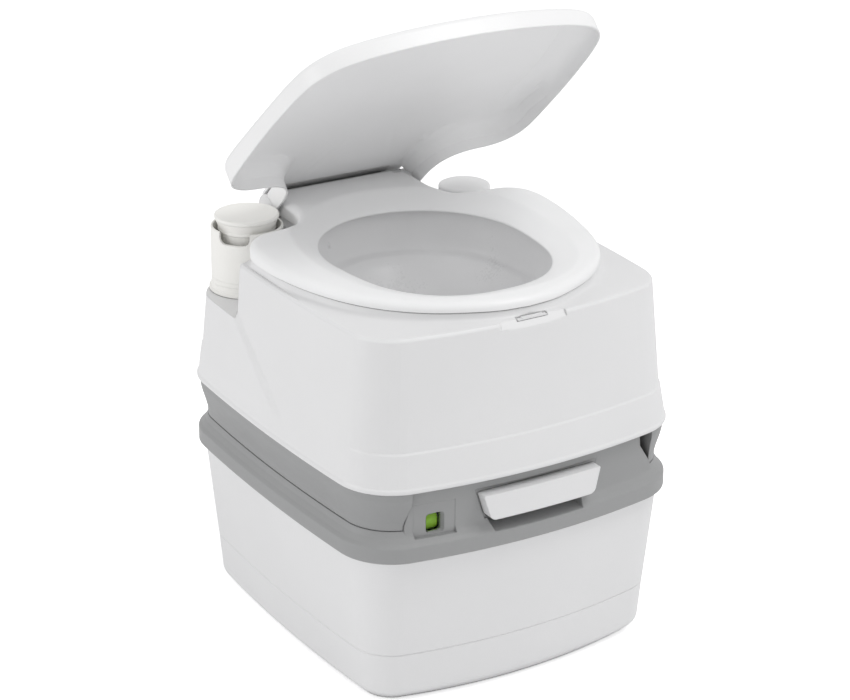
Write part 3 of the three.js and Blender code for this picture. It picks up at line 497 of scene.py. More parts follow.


# each material also darkens its creases and gaps with painted shade; its strength is 0.75 unless a lower value is given
# below
M = {
    "white_shell": plastic("white_shell", (0.80, 0.80, 0.805), 0.36, sss=0.0),
    "seat_white": plastic("seat_white", (0.90, 0.902, 0.905), 0.40, grain_depth=0.02),
    "lid_white": plastic("lid_white", (0.90, 0.90, 0.903), 0.38, grain_depth=0.02, painted_crease_shade=0.35),
    "bowl_white": plastic("bowl_white", (0.82, 0.82, 0.825), 0.30, grain_depth=0.01, scuff=0.05),
    "grey_shell": plastic("grey_shell", (0.335, 0.338, 0.340), 0.48, tint=0.03, grain=900, grain_depth=0.05, edge=0.35, painted_crease_shade=0.5),
    "ivory_plastic": plastic("ivory_plastic", (0.93, 0.922, 0.890), 0.34, painted_crease_shade=0.35),
    "inner_plastic": plastic("inner_plastic", (0.16, 0.163, 0.168), 0.5, tint=0.04, edge=0.3),
    "blade_plastic": plastic("blade_plastic", (0.045, 0.048, 0.052), 0.38, tint=0.05, edge=0.2),
    "green_plastic": plastic("green_plastic", (0.42, 0.78, 0.05), 0.32, tint=0.04, painted_crease_shade=0.3),
    "rubber": plastic("rubber", (0.03, 0.031, 0.033), 0.75, tint=0.08, grain=700, grain_depth=0.06, spec=0.3),
    "steel": metal("steel", (0.62, 0.62, 0.64)),
    "window": clear("window", (0.93, 0.96, 0.93)),
}


# ------------------------------------------------------------------ finish of each piece kept from the CAD model
SLOT_OF = {}
for slot, names in {
    "white_shell": "waste_tank_lower valve_handle latch flush_tank_shell lid_catch lid hinge_lug_left hinge_lug_right fill_cap",
    "grey_shell": "waste_tank_upper flush_tank_base",
    "window": "level_window",
    "green_plastic": "level_flag",
    "steel": "float_pin vent_spring latch_pin hinge_pin_left hinge_pin_right",
    "ivory_plastic": "float_arm float spout_cap vent_button pump_collar pump_cylinder pump_knob pump_rod flush_hose flush_nozzle",
    "inner_plastic": "valve_guide valve_cover pour_spout pump_foot_valve pump_piston",
    "rubber": "valve_lip_seal spout_seal spout_cap_seal vent_seal bowl_outlet_seal pump_piston_seal fill_cap_seal",
    "blade_plastic": "valve_blade",
    "bowl_white": "bowl",
    "seat_white": "seat",
}.items():
    for n in names.split():
        SLOT_OF[n] = slot


# ------------------------------------------------------------------ waste tank, lower half
def stack(profile, **k):
    return [lift(outline(i, **k), z) for i, z in profile]


outer = rounded([(36, 0.0), (31.5, 0.0, 3), (20, 12, 11), (16.65, 54.9, 0.5), (17.35, 55.9, 0.3), (16.4, 56.9, 0.5), (6.7, 163.4, 0.8), (3, 163.6, 0.3), (3, 164.4)], 6)
inner = rounded([(9, 164.4), (9.5, 160, 2), (19.5, 55.9, 4), (23, 14, 6), (32, 4.5, 3), (36, 3.5)], 4)
tank_lower = skin("tank_lower", stack(outer) + stack(inner))
place(tank_lower, "waste_tank", "white_shell", M["white_shell"], "waste_tank_lower", angle=38)


# ------------------------------------------------------------------ waste tank, upper half
def console_y(x):
    a, b = WIDTH / 2 - 8.6, DEPTH / 2 - 8.6
    R = (a * a + BOW_FRONT**2) / (2 * BOW_FRONT)
    return -b + R - np.sqrt(R * R - np.asarray(x, float) ** 2)


def console_block(name, levels, y_back, y_grow=0.0, n=64):
    """levels: (half width left, half width right, z)."""
    rings = []
    for wl, wr, z in levels:
        x = np.linspace(-wl, wr, n + 1)
        ring = np.column_stack([x, console_y(x) - y_grow, np.full(n + 1, z)])
        rings.append(np.vstack([ring, [[wr, y_back, z], [-wl, y_back, z]]]))
    return skin(name, rings)


def spout_bay(name, grow, z0, z1):
    return prism(name, [(68 + grow, 146 - grow), (68 + grow, 240), (-114 - grow, 240), (-114 - grow, 158), (-104 - grow * 0.7, 148 - grow * 0.7), (-92, 146 - grow)], z0, z1)


def hexa(name, p):
    """Box of eight points: four below, anticlockwise, then four above."""
    f = [(3, 2, 1, 0), (4, 5, 6, 7)] + [(i, (i + 1) % 4, 4 + (i + 1) % 4, 4 + i) for i in range(4)]
    return new_object(name, np.array(p, float), f)


def pocket(name, g):
    """Grip pocket under the handle: slanted ends, a floor that falls to the front."""
    return hexa(name, [(-49.5 - g, -240, 177.6 - g), (51.5 + g, -240, 177.6 - g), (52.5 + g, -187.5 + g, 184.4 - g), (-51 - g, -187.5 + g, 184.4 - g), (-58 - g, -240, 199 + g), (57 + g, -240, 199 + g), (56 + g, -187.5 + g, 199 + g), (-57 - g, -187.5 + g, 199 + g)])


def rounded_rect(x0, x1, y0, y1, r, n=8):
    out = []
    for cx, cy, a in ((x1 - r, y0 + r, -90), (x1 - r, y1 - r, 0), (x0 + r, y1 - r, 90), (x0 + r, y0 + r, 180)):
        out += [(cx + r * math.cos(math.radians(a + 90 * i / n)), cy + r * math.sin(math.radians(a + 90 * i / n))) for i in range(n + 1)]
    return out


def along_y(name, rings_xz):
    """Cutter whose sections in x and z are given at each y, from the front to the back."""
    rings = [np.column_stack([np.array(p)[:, 0], np.full(len(p), y), np.array(p)[:, 1]]) for y, p in rings_xz]
    return skin(name, rings)


WX0, WX1, WZ0, WZ1 = -119.0, -102.6, 190.2, 209.0
outer = rounded([(9, 165.0), (1.2, 165.0, 0.8), (0, 166.4, 1.2), (0.1, 181.0, 2.6), (3.4, 184.6, 3.0), (7.0, 189.8, 8), (9.4, 195.2)], 6)
tank_upper = skin("tank_upper", stack(outer))
join(tank_upper, console_block("c", [(141, 148, 184), (141, 148, 200), (135.4, 133, 222), (134.4, 132, 236.4)], -150))
hollow = skin("h", stack([(8, 160.6), (8, 181), (13, 186), (18.5, 191), (22, 192.2)], nf=5, nr=7, ns=4))
join(hollow, box("r", -126.5, -92.5, -189.6, -154, 180, 213))
cut(hollow, pocket("p", 3), spout_bay("s", 3, 178, 260))
cut(tank_upper, hollow, spout_bay("s", 0, 181, 260), pocket("p", 0), hexa("r", [(-58.2, -240, 194), (63.6, -240, 194), (63.6, -200.8, 194), (-58.2, -200.8, 194), (-68.6, -240, 227), (73.4, -240, 227), (73.4, -200.8, 227), (-68.6, -200.8, 227)]), box("r", -44.6, 44.6, -240, -168, 202.6, 206.5), box("r", -63.6, 63.6, -169, -140, 202.6, 206.5))
cut(
    tank_upper,
    along_y("w", [(-215, rounded_rect(WX0, WX1, WZ0, WZ1, 3.2)), (-186, rounded_rect(WX0, WX1, WZ0, WZ1, 3.2))]),
    along_y("w", [(-215, rounded_rect(WX0 - 9, WX1 + 9, WZ0 - 9, WZ1 + 9, 9)), (-193.4, rounded_rect(WX0 - 0.4, WX1 + 0.4, WZ0 - 0.4, WZ1 + 0.4, 3.4))]),
    rod("r", "z", (0, 0), 49, 180, 200, 72),
    rod("r", "z", (100, 160), 6, 180, 200, 32),
    rod("r", "z", (-88, 168), 12, 170, 190, 40),
)
for x in (86.6, 128.4):
    ear = rod("e", "x", (206, 190), 5.4, x, x + 5, 40)
    join(ear, box("e", x, x + 5, 200.6, 211.4, 183.5, 190), box("e", x, x + 5, 196, 206, 184.6, 195))
    cut(ear, rod("e", "x", (206, 190), 2.3, x - 1, x + 6, 24))
    join(tank_upper, ear)
panel = []
for z in (187.0, 221.5):
    x = np.linspace(-132.5, -89.5, 17)
    panel.append(np.vstack([np.column_stack([x, console_y(x) + 0.3, np.full(17, z)]), [[-89.5, -240, z], [-132.5, -240, z]]]))
cut(tank_upper, skin("w", panel))
bevel(tank_upper, 0.7, 3, 38)
place(tank_upper, "waste_tank", "grey_shell", M["grey_shell"], "waste_tank_upper", angle=42)

pane = along_y("level_pane", [(-192.6, rounded_rect(WX0 + 0.3, WX1 - 0.3, WZ0 + 0.3, WZ1 - 0.3, 3)), (-191.0, rounded_rect(WX0 + 0.3, WX1 - 0.3, WZ0 + 0.3, WZ1 - 0.3, 3))])
bevel(pane, 0.3, 2, 40)
place(pane, "waste_tank", "window", M["window"], "level_window")

# level flag: a curved plate on two cheeks that turn about the float's pin
FX, FY, FZ = -110.8, -175.2, 198.0
t = np.radians(np.linspace(100, 262, 40))
plate = [(FY + 13.4 * math.cos(a), FZ + 13.4 * math.sin(a)) for a in t] + [(FY + 11.2 * math.cos(a), FZ + 11.2 * math.sin(a)) for a in t[::-1]]
flag = extrude_x("level_flag_plate", plate, FX - 7.6, FX + 7.6)
cheek = rod("c", "x", (FY, FZ), 5, FX - 7.6, FX + 7.6, 32)
join(cheek, box("c", FX - 7.6, FX - 5.6, FY - 11.8, FY, FZ - 3, FZ + 3))
join(flag, cheek)
cut(flag, rod("c", "x", (FY, FZ), 2.3, FX - 9, FX + 9, 24))
bevel(flag, 0.35, 2, 40)
place(flag, "float", "green_plastic", M["green_plastic"], "level_flag")


# ------------------------------------------------------------------ pull handle of the slide valve
def handle():
    z0, z1 = 196.4, 223.4
    zs = np.concatenate([z0 + 5 * (1 - np.cos(np.linspace(0, PI / 2, 7))), np.linspace(z0 + 6, z1 - 2.5, 7), z1 - 2 * (1 - np.sin(np.linspace(0, PI / 2, 5)))])
    zs = np.unique(np.round(zs, 4))
    nx = 56
    front, back = [], []
    for z in zs:
        u = (z - z0) / (z1 - z0)
        xl, xr = -57.5 - 8.5 * u, 63.0 + 7.5 * u
        if z < z0 + 5:
            e = 5 - math.sqrt(max(25 - (z0 + 5 - z) ** 2, 0))
            xl, xr = xl + e, xr - e
        if z > z1 - 2:
            e = 2 - math.sqrt(max(4 - (z - z1 + 2) ** 2, 0))
            xl, xr = xl + e, xr - e
        x = np.linspace(xl, xr, nx)
        bow = 0.75 * (console_y(x) - console_y(0))
        front.append(np.column_stack([x, -216.6 + bow + 0.9 * u, np.full(nx, z)]))
        back.append(np.column_stack([x, np.full(nx, -201.5), np.full(nx, z)]))
    m = len(zs)
    v = np.vstack(front + back)
    f = []
    o = m * nx
    for i in range(m - 1):
        for j in range(nx - 1):
            a, b, c, d = i * nx + j, i * nx + j + 1, (i + 1) * nx + j + 1, (i + 1) * nx + j
            f += [(a, b, c, d), (o + d, o + c, o + b, o + a)]
        f += [(i * nx, (i + 1) * nx, o + (i + 1) * nx, o + i * nx), (i * nx + nx - 1, o + i * nx + nx - 1, o + (i + 1) * nx + nx - 1, (i + 1) * nx + nx - 1)]
    for j in range(nx - 1):
        f += [(j, o + j, o + j + 1, j + 1), ((m - 1) * nx + j, (m - 1) * nx + j + 1, o + (m - 1) * nx + j + 1, o + (m - 1) * nx + j)]
    ob = new_object("pull_handle", v, f)
    # finger groove along the underside
    cut(ob, rod("g", "x", (-207.0, 192.6), 6.2, -46, 50, 40))
    cut(ob, box("g", -44.5, 44.5, -203.6, -200, 202.8, 206.3))
    return bevel(ob, 1.5, 4, 45, clamp=True)


place(handle(), "valve", "white_shell", M["white_shell"], "valve_handle", angle=50)


# ------------------------------------------------------------------ flush tank, grey base
outer = rounded([(10.0, 195.9, 0.4), (9.7, 196.4, 0.3), (9.4, 204.0, 14), (7.6, 212.0, 20), (4.6, 223.0, 10), (3.2, 229.6, 3), (3.0, 237.0)], 6)
base = skin("skirt", stack(outer))
hollow = skin("h", stack([(19.5, 214.6), (10.4, 222), (7.4, 228), (7, 240)], nf=5, nr=7, ns=4))
under = skin("u", stack([(19.6, 190.9), (19.6, 204), (21, 212)], nf=5, nr=7, ns=4))
wall = console_block("w", [(144.7, 151.7, 183), (144.7, 151.7, 200), (139.2, 147.7, 222), (138.2, 147.2, 260)], -146.4, 40)
cut(hollow, wall, spout_bay("s", 3, 180, 227), rod("r", "z", (0, 0), 61.5, 200, 222, 72))
cut(
    base,
    hollow,
    under,
    console_block("w", [(141.6, 148.7, 183), (141.6, 148.7, 200), (136.0, 144.7, 222), (135.0, 144.2, 260)], -149.4, 30),
    spout_bay("s", 0, 180, 224),
    rod("r", "z", (0, 0), 58, 200, 230, 72),
    box("r", 85.8, 134.2, 200, 240, 180, 204),
)
bevel(base, 0.8, 3, 34)
place(base, "flush_unit", "grey_shell", M["grey_shell"], "flush_tank_base", angle=42)

# ------------------------------------------------------------------ seat plan and deck
SEAT_HALF = [(0, -188), (30, -184.2), (60, -173), (90, -157), (112, -139), (130, -118.5), (146, -92), (158, -62), (166.5, -28), (171, 4), (172, 34), (170.5, 54), (165.5, 69), (156, 80), (143.5, 86.5), (128, 88.5), (112, 91.5), (98, 98.5), (88, 110.5), (83, 126), (81.4, 145), (81.4, 168)]
STEP_HALF = [(176, 77), (166, 79), (156, 84), (147, 92), (140, 99), (126, 106.5), (112, 110), (102, 114), (93, 121), (86.5, 132), (83, 146), (82, 163)]
LID_HALF = [(0, -191.0), (45, -188.8), (88, -182.4), (120, -174.0), (140, -165.0), (154, -152.4), (164, -136), (170, -112), (174.4, -74), (177, -34), (177.6, 4), (177.2, 40), (175, 64), (168, 79), (157, 88.5), (143, 93.6), (128, 95), (114, 97.6), (101.5, 104.2), (93, 115), (88.6, 130), (87.5, 147), (87.5, 165.6)]
# a mirrored first point keeps the curve level at the front
SEAT = whole([(0, -188)] + SEAT_HALF[1:], np.array([(81.4, 220.0), (81.4, 260.0)]))
LID = whole([(0, -191.0)] + LID_HALF[1:], np.array([(87.5, 220.0), (87.5, 260.0)]))


def angles(closed, n, more=()):
    """Directions round the centre of points evenly spaced along a closed plan curve."""
    ring = np.vstack([closed, closed[:1]])
    p = resample(ring, n + 1)[:-1]
    th = np.concatenate([polar_angles(p)] + [polar_angles(np.asarray(m)) for m in more])
    th = np.sort(th)
    keep = [th[0]]
    for a in th[1:]:
        if a - keep[-1] > 0.28:
            keep.append(a)
    return np.array(keep)


HOLE_Z = 398.6


def hole_curve(grow=0.0, n=720):
    """Edge of the seat's opening: an ellipse behind the widest line, fuller in front of it."""
    a, yf, yb, cy = 107.6 + grow, -140.5 - grow, 115.8 + grow, 3.6
    t = 2 * PI * np.arange(n) / n
    s, c = np.sin(t), np.cos(t)
    k = 2 / (2 + 0.45 * smooth(-s / 0.5))
    s2, c2 = np.sign(s) * np.abs(s) ** k, np.sign(c) * np.abs(c) ** k
    return np.stack([a * c2, cy + np.where(s < 0, cy - yf, yb - cy) * s2], 1)


def hole_radius(th, grow=0.0):
    """Distance from the centre to the hole's edge in each direction."""
    return radius(hole_curve(grow), th)


def hole_distance(P, grow=0.0):
    e = hole_curve(grow, 360)
    return distance(P, np.vstack([e, e[:1]]))


def reach(line, th, ds, lo=0.45, hi=1.3, m=80):
    """Distance from the centre, in each direction, of the curves that lie ds inside a plan curve."""
    R = radius(line, th)
    f = np.linspace(lo, hi, m)
    rr = R[:, None] * f
    D = distance(at_polar(np.repeat(th, m), rr.ravel()), line).reshape(len(th), m)
    D = np.maximum.accumulate(np.where(f < 1, -D, D), axis=1)
    out = []
    for d in ds:
        want = -np.broadcast_to(np.asarray(d, float), (len(th),))
        out.append(np.array([np.interp(want[i], D[i], rr[i]) for i in range(len(th))]))
    return out


# shell: crisp crease at the front and back, fading along the sides
def wall_profiles():
    top = [(16.9, 386.0, 2.2), (18.9, 388.65, 1.6), (21.5, 388.65)]
    foot = [(4.4, 237.4), (1.6, 237.4, 0.8), (0.0, 238.9, 1.3), (0.0, 241.6, 1.4), (1.3, 243.6, 2.0)]
    crisp = rounded(foot + [(6.5, 275.4, 0.8), (8.0, 277.4, 0.8)] + top, 6)
    rows = []
    for p, q in zip(crisp, crisp[1:]):
        n = max(1, int(abs(q[1] - p[1]) // 3))
        rows += [(p[0] + (q[0] - p[0]) * i / n, p[1] + (q[1] - p[1]) * i / n) for i in range(n)]
    crisp = np.array(rows + [crisp[-1]])
    soft = crisp.copy()
    fair = spline([(1.3, 243.6), (4.15, 260), (6.85, 277), (9.3, 300), (12.2, 330), (14.9, 362), (16.9, 386)], 8)
    band = (crisp[:, 1] > 243.6) & (crisp[:, 1] < 383)
    soft[band, 0] = np.interp(crisp[band, 1], fair[:, 1], fair[:, 0])
    return crisp, soft


crisp, soft = wall_profiles()
edge_plan = outline(21.5)
th_deck = angles(np.vstack([inward(SEAT, 3), [[0, 260]]]), 300, (outline(10, 12, 14, 10),))
th_deck = th_deck[(th_deck > -269.9)]


def wall_ring(k):
    """Ring k of the shell's wall."""
    a = at_polar(th_deck, radius(outline(crisp[k, 0]), th_deck))
    b = at_polar(th_deck, radius(outline(soft[k, 0]), th_deck))
    w = smooth((np.abs(a[:, 1]) - 135) / 45)[:, None]
    p = a * w + b * (1 - w)
    z = crisp[k, 1] * w[:, 0] + soft[k, 1] * (1 - w[:, 0])
    # the rear part of each side stands a little proud of a slanting line
    d = (z - 286.0) * 0.822 - (p[:, 1] - 3.5) * 0.569
    along = (p[:, 1] - 3.5) * 0.822 + (z - 286.0) * 0.569
    amount = 3.0 * smooth(-d / 4) * smooth((along + 52) / 40) * smooth((z - 246) / 22) * smooth((388 - z) / 14) * smooth((190 - p[:, 1]) / 60)
    side = smooth((np.abs(p[:, 0]) - 160) / 14)
    p = p + np.column_stack([np.sign(p[:, 0]) * amount * side, np.zeros(len(p))])
    return np.column_stack([p, z])


plinth_line = inward(SEAT, 1.7)


def deck_z(P):
    """Height of the deck: level, with a raised ring under the seat and a fillet round it."""
    inside = radius(plinth_line, polar_angles(P)) - np.hypot(P[:, 0] - CENTRE[0], P[:, 1] - CENTRE[1])
    d = distance(P, plinth_line)
    d = np.where(inside > 0, -d, d)
    z = np.interp(d, [-2.0, -0.9, -0.25, 0.2, 0.6, 1.2, 2.2, 3.6, 5.4, 8.0, 11.0], [PLINTH_Z + 0.2, PLINTH_Z + 0.2, PLINTH_Z - 0.1, PLINTH_Z - 1.4, PLINTH_Z - 3.6, PLINTH_Z - 5.4, PLINTH_Z - 6.5, PLINTH_Z - 7.15, PLINTH_Z - 7.55, PLINTH_Z - 7.8, DECK_Z])
    return z


r_edge = radius(outline(21.5), th_deck)
rings = [wall_ring(k) for k in range(len(crisp))]
deck_rings = []
last = r_edge
for r in reach(plinth_line, th_deck, [-14, -11, -8.0, -5.4, -3.6, -2.2, -1.2, -0.6, -0.2, 0.25, 0.9, 2.0]):
    r = np.minimum(r, last - 0.12)
    deck_rings.append(r)
    last = r
r_bowl = hole_radius(th_deck, 17.5)
r_bowl = np.minimum(r_bowl, last - 1.0)
for s in np.linspace(0, 1, 9)[1:]:
    deck_rings.append(last + (r_bowl - last) * s)
for r in deck_rings:
    P = at_polar(th_deck, r)
    rings.append(np.column_stack([P, deck_z(P)]))
shell = skin("shell", rings)


def recess(name, side, g, z0):
    curve = spline([(250, 77)] + STEP_HALF, 8)
    t = np.gradient(curve, axis=0)
    t /= np.linalg.norm(t, axis=1)[:, None]
    grown = curve + np.stack([-t[:, 1], t[:, 0]], 1) * g
    grown[0] = (250, 77 - g)
    grown[-1] = (82 - g, REAR_STRIP_Y)
    poly = np.vstack([grown, [(82 - g, 260), (250, 260)]]) * [side, 1]
    return prism(name, poly[::-1] if side > 0 else poly, z0, 460)


def strip(name, g, z):
    return box(name, -84, 84, REAR_STRIP_Y - g, 260, z, 460)


hollow = skin("h", stack([(5.4, 230), (6.4, 243), (10.8, CREASE_Z), (20, DECK_Z - 6), (25, DECK_Z - 3)], nf=6, nr=8, ns=5))
cut(hollow, recess("r", 1, 3, REAR_DECK_Z - 3), recess("r", -1, 3, PUMP_DECK_Z - 3), strip("r", 3, REAR_DECK_Z - 3))
cut(shell, recess("r", 1, 0, REAR_DECK_Z), recess("r", -1, 0, PUMP_DECK_Z), strip("r", 0, REAR_DECK_Z), hollow)
cut(
    shell,
    prism("r", egg(127, -152, 139, -5), 393.1, 400),
    prism("r", egg(122.2, -147, 134, -5), 370, 400),
    rod("r", "z", PUMP, 24.6, 320, 340, 72),
    rod("r", "z", FILL, 20, 360, 395, 64),
)
# finger scoop in the front edge, and the slot for the catch
scoop = extrude_x("scoop", [(-190.4, 389.0), (-190.4, 396), (-219, 396), (-219, 379.6), (-198.6, 379.6)], -37, 37)
cut(shell, scoop, box("r", -17.5, 17.5, -193.5, -187.4, 386.5, 400))
neck = lathe("n", [(20.0, 371), (23.6, 371), (23.6, 391.8), (23.0, 393), (20.6, 393), (20.0, 392.2)], *FILL, n=72)
join(shell, neck)
bevel(shell, 1.6, 4, 38)
place(shell, "flush_unit", "white_shell", M["white_shell"], "flush_tank_shell", angle=40)


# ------------------------------------------------------------------ catch and bowl
catch = box("lid_catch_plate", -16.8, 16.8, -192.8, -188, 386.9, 388.4)
join(catch, box("c", -12, 12, -191.8, -189, 388.2, 389.7))
bevel(catch, 0.45, 3, 40)
place(catch, "flush_unit", "white_shell", M["white_shell"], "lid_catch")

wall = [(126.3, -151.3, 138.3, 393.5), (126.3, -151.3, 138.3, 395.7), (125.8, -150.8, 137.8, 396.2)]
wall += [tuple(p) for p in spline([(121.6, -147.0, 133.8, 396.2), (119.8, -145.2, 132.0, 395.3), (118.6, -143.8, 130.6, 392.6), (116.4, -140.4, 127.4, 380), (113.6, -137.0, 123.6, 366), (110.8, -133.8, 120.4, 357.4), (108.6, -131.2, 118.0, 354.2), (105.2, -127.6, 114.4, 352.4)], 6)]
wall += [tuple(p) for p in spline([(102.4, -124.2, 111.0, 351.2), (95.0, -114.2, 101.8, 343), (86.0, -102.6, 92.0, 330), (72.0, -86.0, 78.0, 308), (59.0, -66.6, 62.0, 282), (51.0, -53.0, 52.6, 259), (48.3, -48.6, 48.6, 244), (48, -48, 48, 232)], 7)]
wall += [(48, -48, 48, 214.9), (51, -51, 51, 214.9), (51, -51, 51, 247), (58, -63, 59, 274), (73, -87, 79, 306), (93, -111, 99, 331), (108, -130, 117, 348), (117, -140, 127, 371), (120.6, -145.4, 132.4, 391), (121.4, -146, 133, 393.5)]
bowl = skin("bowl_inner", [lift(egg(a, f, b, -5 * float(smooth((z - 240) / 40)), 160), z) for a, f, b, z in wall], caps=False)
place(bowl, "flush_unit", "bowl_white", M["bowl_white"], "bowl", angle=28)


# spray nozzle: a low dome that stands just proud of the bowl's wall
profile = [(0.0, 0.0), (6.2, 0.0), (6.2, 4.0), (4.0, 4.4), (4.0, 27.6), (3.6, 28.6), (2.4, 29.2), (1.1, 29.5), (0.9, 29.0), (0.0, 29.0)]
nozzle = lathe("spray_nozzle", profile, 0, 0, 48)
nozzle.data.transform(Matrix.Translation(Vector((-52, 140.5, 374)) * MM) @ Matrix.Rotation(PI / 2, 4, "X"))
place(nozzle, "flush_unit", "ivory_plastic", M["bowl_white"], "flush_nozzle")


# ------------------------------------------------------------------ seat
def signed(P, line):
    """Distance inside a plan curve; negative outside."""
    d = distance(P, line)
    return np.where(np.hypot(P[:, 0] - CENTRE[0], P[:, 1] - CENTRE[1]) <= radius(line, polar_angles(P)) + 1e-6, d, -d)


SEAT_REAR = 180.8
th = angles(np.vstack([SEAT, [[0, 260]]]), 230, (hole_curve(0, 120), np.array([(-81.4, SEAT_REAR), (81.4, SEAT_REAR), (-40, SEAT_REAR), (40, SEAT_REAR)])))


def seat_top(P):
    d, h, y = np.maximum(signed(P, SEAT), 0), hole_distance(P), P[:, 1]
    base = 407.2 + rise(y) + 2.6 * smooth((y - 112) / 62)
    drop = 6.8 * (1 - np.sqrt(np.clip(1 - (1 - np.minimum(d, 8.5) / 8.5) ** 2, 0, 1)))
    t = np.clip(1 - h / 27.0, 0, 1)
    crown = 1.0 * smooth(np.minimum(d, 24) / 24) * smooth((170 - y) / 60)
    soft = (np.sqrt(t * t + 0.0016) - 0.04) / (math.sqrt(1.0016) - 0.04)
    inner = (base + crown - HOLE_Z - 0.4) * (0.84 * soft + 0.06 * t**2.4 + 0.10 * t**6)
    return base - drop - inner + crown


SD = [0, 0.15, 0.5, 1.1, 2.0, 3.2, 4.8, 6.6, 8.5, 11]
R_out = reach(SEAT, th, SD)
rear = rear_radius(th, SEAT_REAR)
rings = []
last = rear + 0.06
outer_r = []
for r in R_out:
    r = np.minimum(r, last - 0.05)
    outer_r.append(r)
    last = r
r_hole = hole_radius(th)
e0 = outer_r[0]


def seat_ring(r, z):
    P = at_polar(th, r)
    top = seat_top(P)
    low = np.full(len(P), 397.6)
    zz = top if z is None else np.clip(np.full(len(P), z), low, np.maximum(top, low))
    return np.column_stack([P, zz])


under = at_polar(th, np.minimum(reach(SEAT, th, [0.7])[0], rear))
rings.append(np.column_stack([under, np.full(len(th), 397.6)]))
rings.append(seat_ring(np.minimum(reach(SEAT, th, [0.15])[0], rear), 397.8))
rings.append(seat_ring(e0, 398.3))
for r in outer_r:
    rings.append(seat_ring(r, None))
n_in = 26
for k in range(1, n_in + 1):
    s = k / n_in
    s = 1 - (1 - s) ** 1.35
    rings.append(seat_ring(last + (r_hole + 0.5 - last) * s, None))
P = at_polar(th, r_hole)
rings.append(np.column_stack([P, np.full(len(P), HOLE_Z)]))
for h, z in ((-0.1, HOLE_Z - 0.8), (0.5, HOLE_Z - 1.6), (2.0, 396.6), (5.0, 396.9), (9, 397.4)):
    rings.append(np.column_stack([at_polar(th, hole_radius(th, h)), np.full(len(th), z)]))
seat = skin("seat_ring", rings, caps=False)
join(seat, rod("r", "x", HINGE, ROLL_R, -64.6, 64.6, 96))
cut(seat, rod("r", "x", HINGE, 17.5, 65.2, 110, 72), rod("r", "x", HINGE, 17.5, -110, -65.2, 72), rod("r", "x", HINGE, 4.35, -70, 70, 32))
cut(seat, box("r", -90, 90, 166, 200, 380, 383.2))
place(seat, "seat", "seat_white", M["seat_white"], "seat", angle=34)

# ------------------------------------------------------------------ hinge lugs
for side, a, b in (("left", -88, -66), ("right", 66, 88)):
    lug = rod("hinge_cheek_" + side, "x", HINGE, 16.4, a, b, 80)
    join(lug, box("b", *((a, -83.8) if side == "left" else (83.8, b)), 171.5, 190, REAR_DECK_Z + 0.4, 400))
    cut(lug, rod("r", "x", HINGE, 4.35, a - 2, b + 2, 32))
    if side == "left":
        cut(lug, rod("r", "z", PUMP, 38.9, 330, 420, 96))
    bevel(lug, 1.2, 3, 40, clamp=True)
    place(lug, "flush_unit", "white_shell", M["white_shell"], "hinge_lug_" + side)


# ------------------------------------------------------------------ lid
LID_REAR = 169.6
th = angles(np.vstack([LID, [[0, 260]]]), 250, (np.array([(x, LID_REAR) for x in (-87.5, -84.5, -60, -30, 0, 30, 60, 84.5, 87.5)]),))


def cove_width(y):
    return 33.0 - 17.0 * smooth((y - 52) / 34) - 4.0 * smooth((y - 100) / 20)


def plate_low(y):
    return 412.4 + rise(y) - 1.4 * smooth((y - 112) / 30)


def lid_low(P, d):
    w, H = cove_width(P[:, 1]), plate_low(P[:, 1]) - 390
    t = np.clip((d - 2.0) / w, 0, 1)
    z = 390 + H * np.interp(t, [0, 0.012, 0.045, 0.10, 0.18, 0.30, 0.45, 0.62, 0.82, 1.0], [0, 0.20, 0.37, 0.50, 0.61, 0.70, 0.765, 0.825, 0.90, 1.0])
    room = seat_top(P) + 1.2 + 1.6 * np.minimum(signed(P, SEAT), 0)
    return np.minimum(0.5 * (z + room + np.sqrt((z - room) ** 2 + 0.36)), lid_high(P, d) - 1.2)


TOPD = [0, 0.4, 1.0, 1.9, 3.2, 5.0, 7.5, 11, 16, 24, 40, 70, 110]
TOPZ = [405.0, 406.6, 407.9, 409.1, 410.2, 411.1, 411.9, 412.6, 413.3, 414.0, 414.8, 415.6, 416.0]
TOPK = [0.3, 0.36, 0.44, 0.52, 0.6, 0.7, 0.8, 0.9, 0.97, 1, 1, 1, 1]


def lid_high(P, d):
    z = np.interp(d, TOPD, TOPZ) + np.interp(d, TOPD, TOPK) * rise(P[:, 1])
    return z - 1.3 * smooth((P[:, 1] - 140) / 30) * smooth(d / 20)


rear = rear_radius(th, LID_REAR)


def lid_rings():
    out = []
    yo = at_polar(th, radius(LID, th))[:, 1]
    w = cove_width(np.minimum(yo, 150))
    far = reach(LID, th, [w * k + 2.0 for k in (1.0, 0.999)] + [2.0 + w * k for k in (0.82, 0.62, 0.45, 0.30, 0.18, 0.10, 0.045, 0.012)] + [2.0, 1.2, 0.5, 0.12, 0.0], lo=0.3)
    c = far[0]
    # underside, from the middle out to the cove
    for s in (0.01, 0.12, 0.3, 0.5, 0.68, 0.84, 0.95):
        out.append((np.minimum(c * s, rear - 0.02), "low"))
    for r in far[:10]:
        out.append((r, "low"))
    out.append((far[10], 390.0))
    out.append((far[11], 390.0))
    out.append((far[12], 390.15))
    out.append((far[13], 390.5))
    out.append((far[14], 391.2))
    out.append((far[14], 398.0))
    for r in reach(LID, th, TOPD[:10], lo=0.3):
        out.append((r, "high"))
    l = out[-1][0]
    for s in (0.93, 0.83, 0.7, 0.55, 0.38, 0.2, 0.08, 0.008):
        out.append((l * s, "high"))
    return out


rings = []
for r, z in lid_rings():
    r = np.minimum(r, rear)
    P = at_polar(th, r)
    d = np.maximum(signed(P, LID), 0)
    lo, hi = lid_low(P, d), lid_high(P, d)
    if z == "low":
        zz = lo
    elif z == "high":
        zz = hi
    else:
        zz = np.where(d > 4, np.clip(z, lo, hi), z)
    rings.append(np.column_stack([P, zz]))
lid = skin("lid_dish", rings)
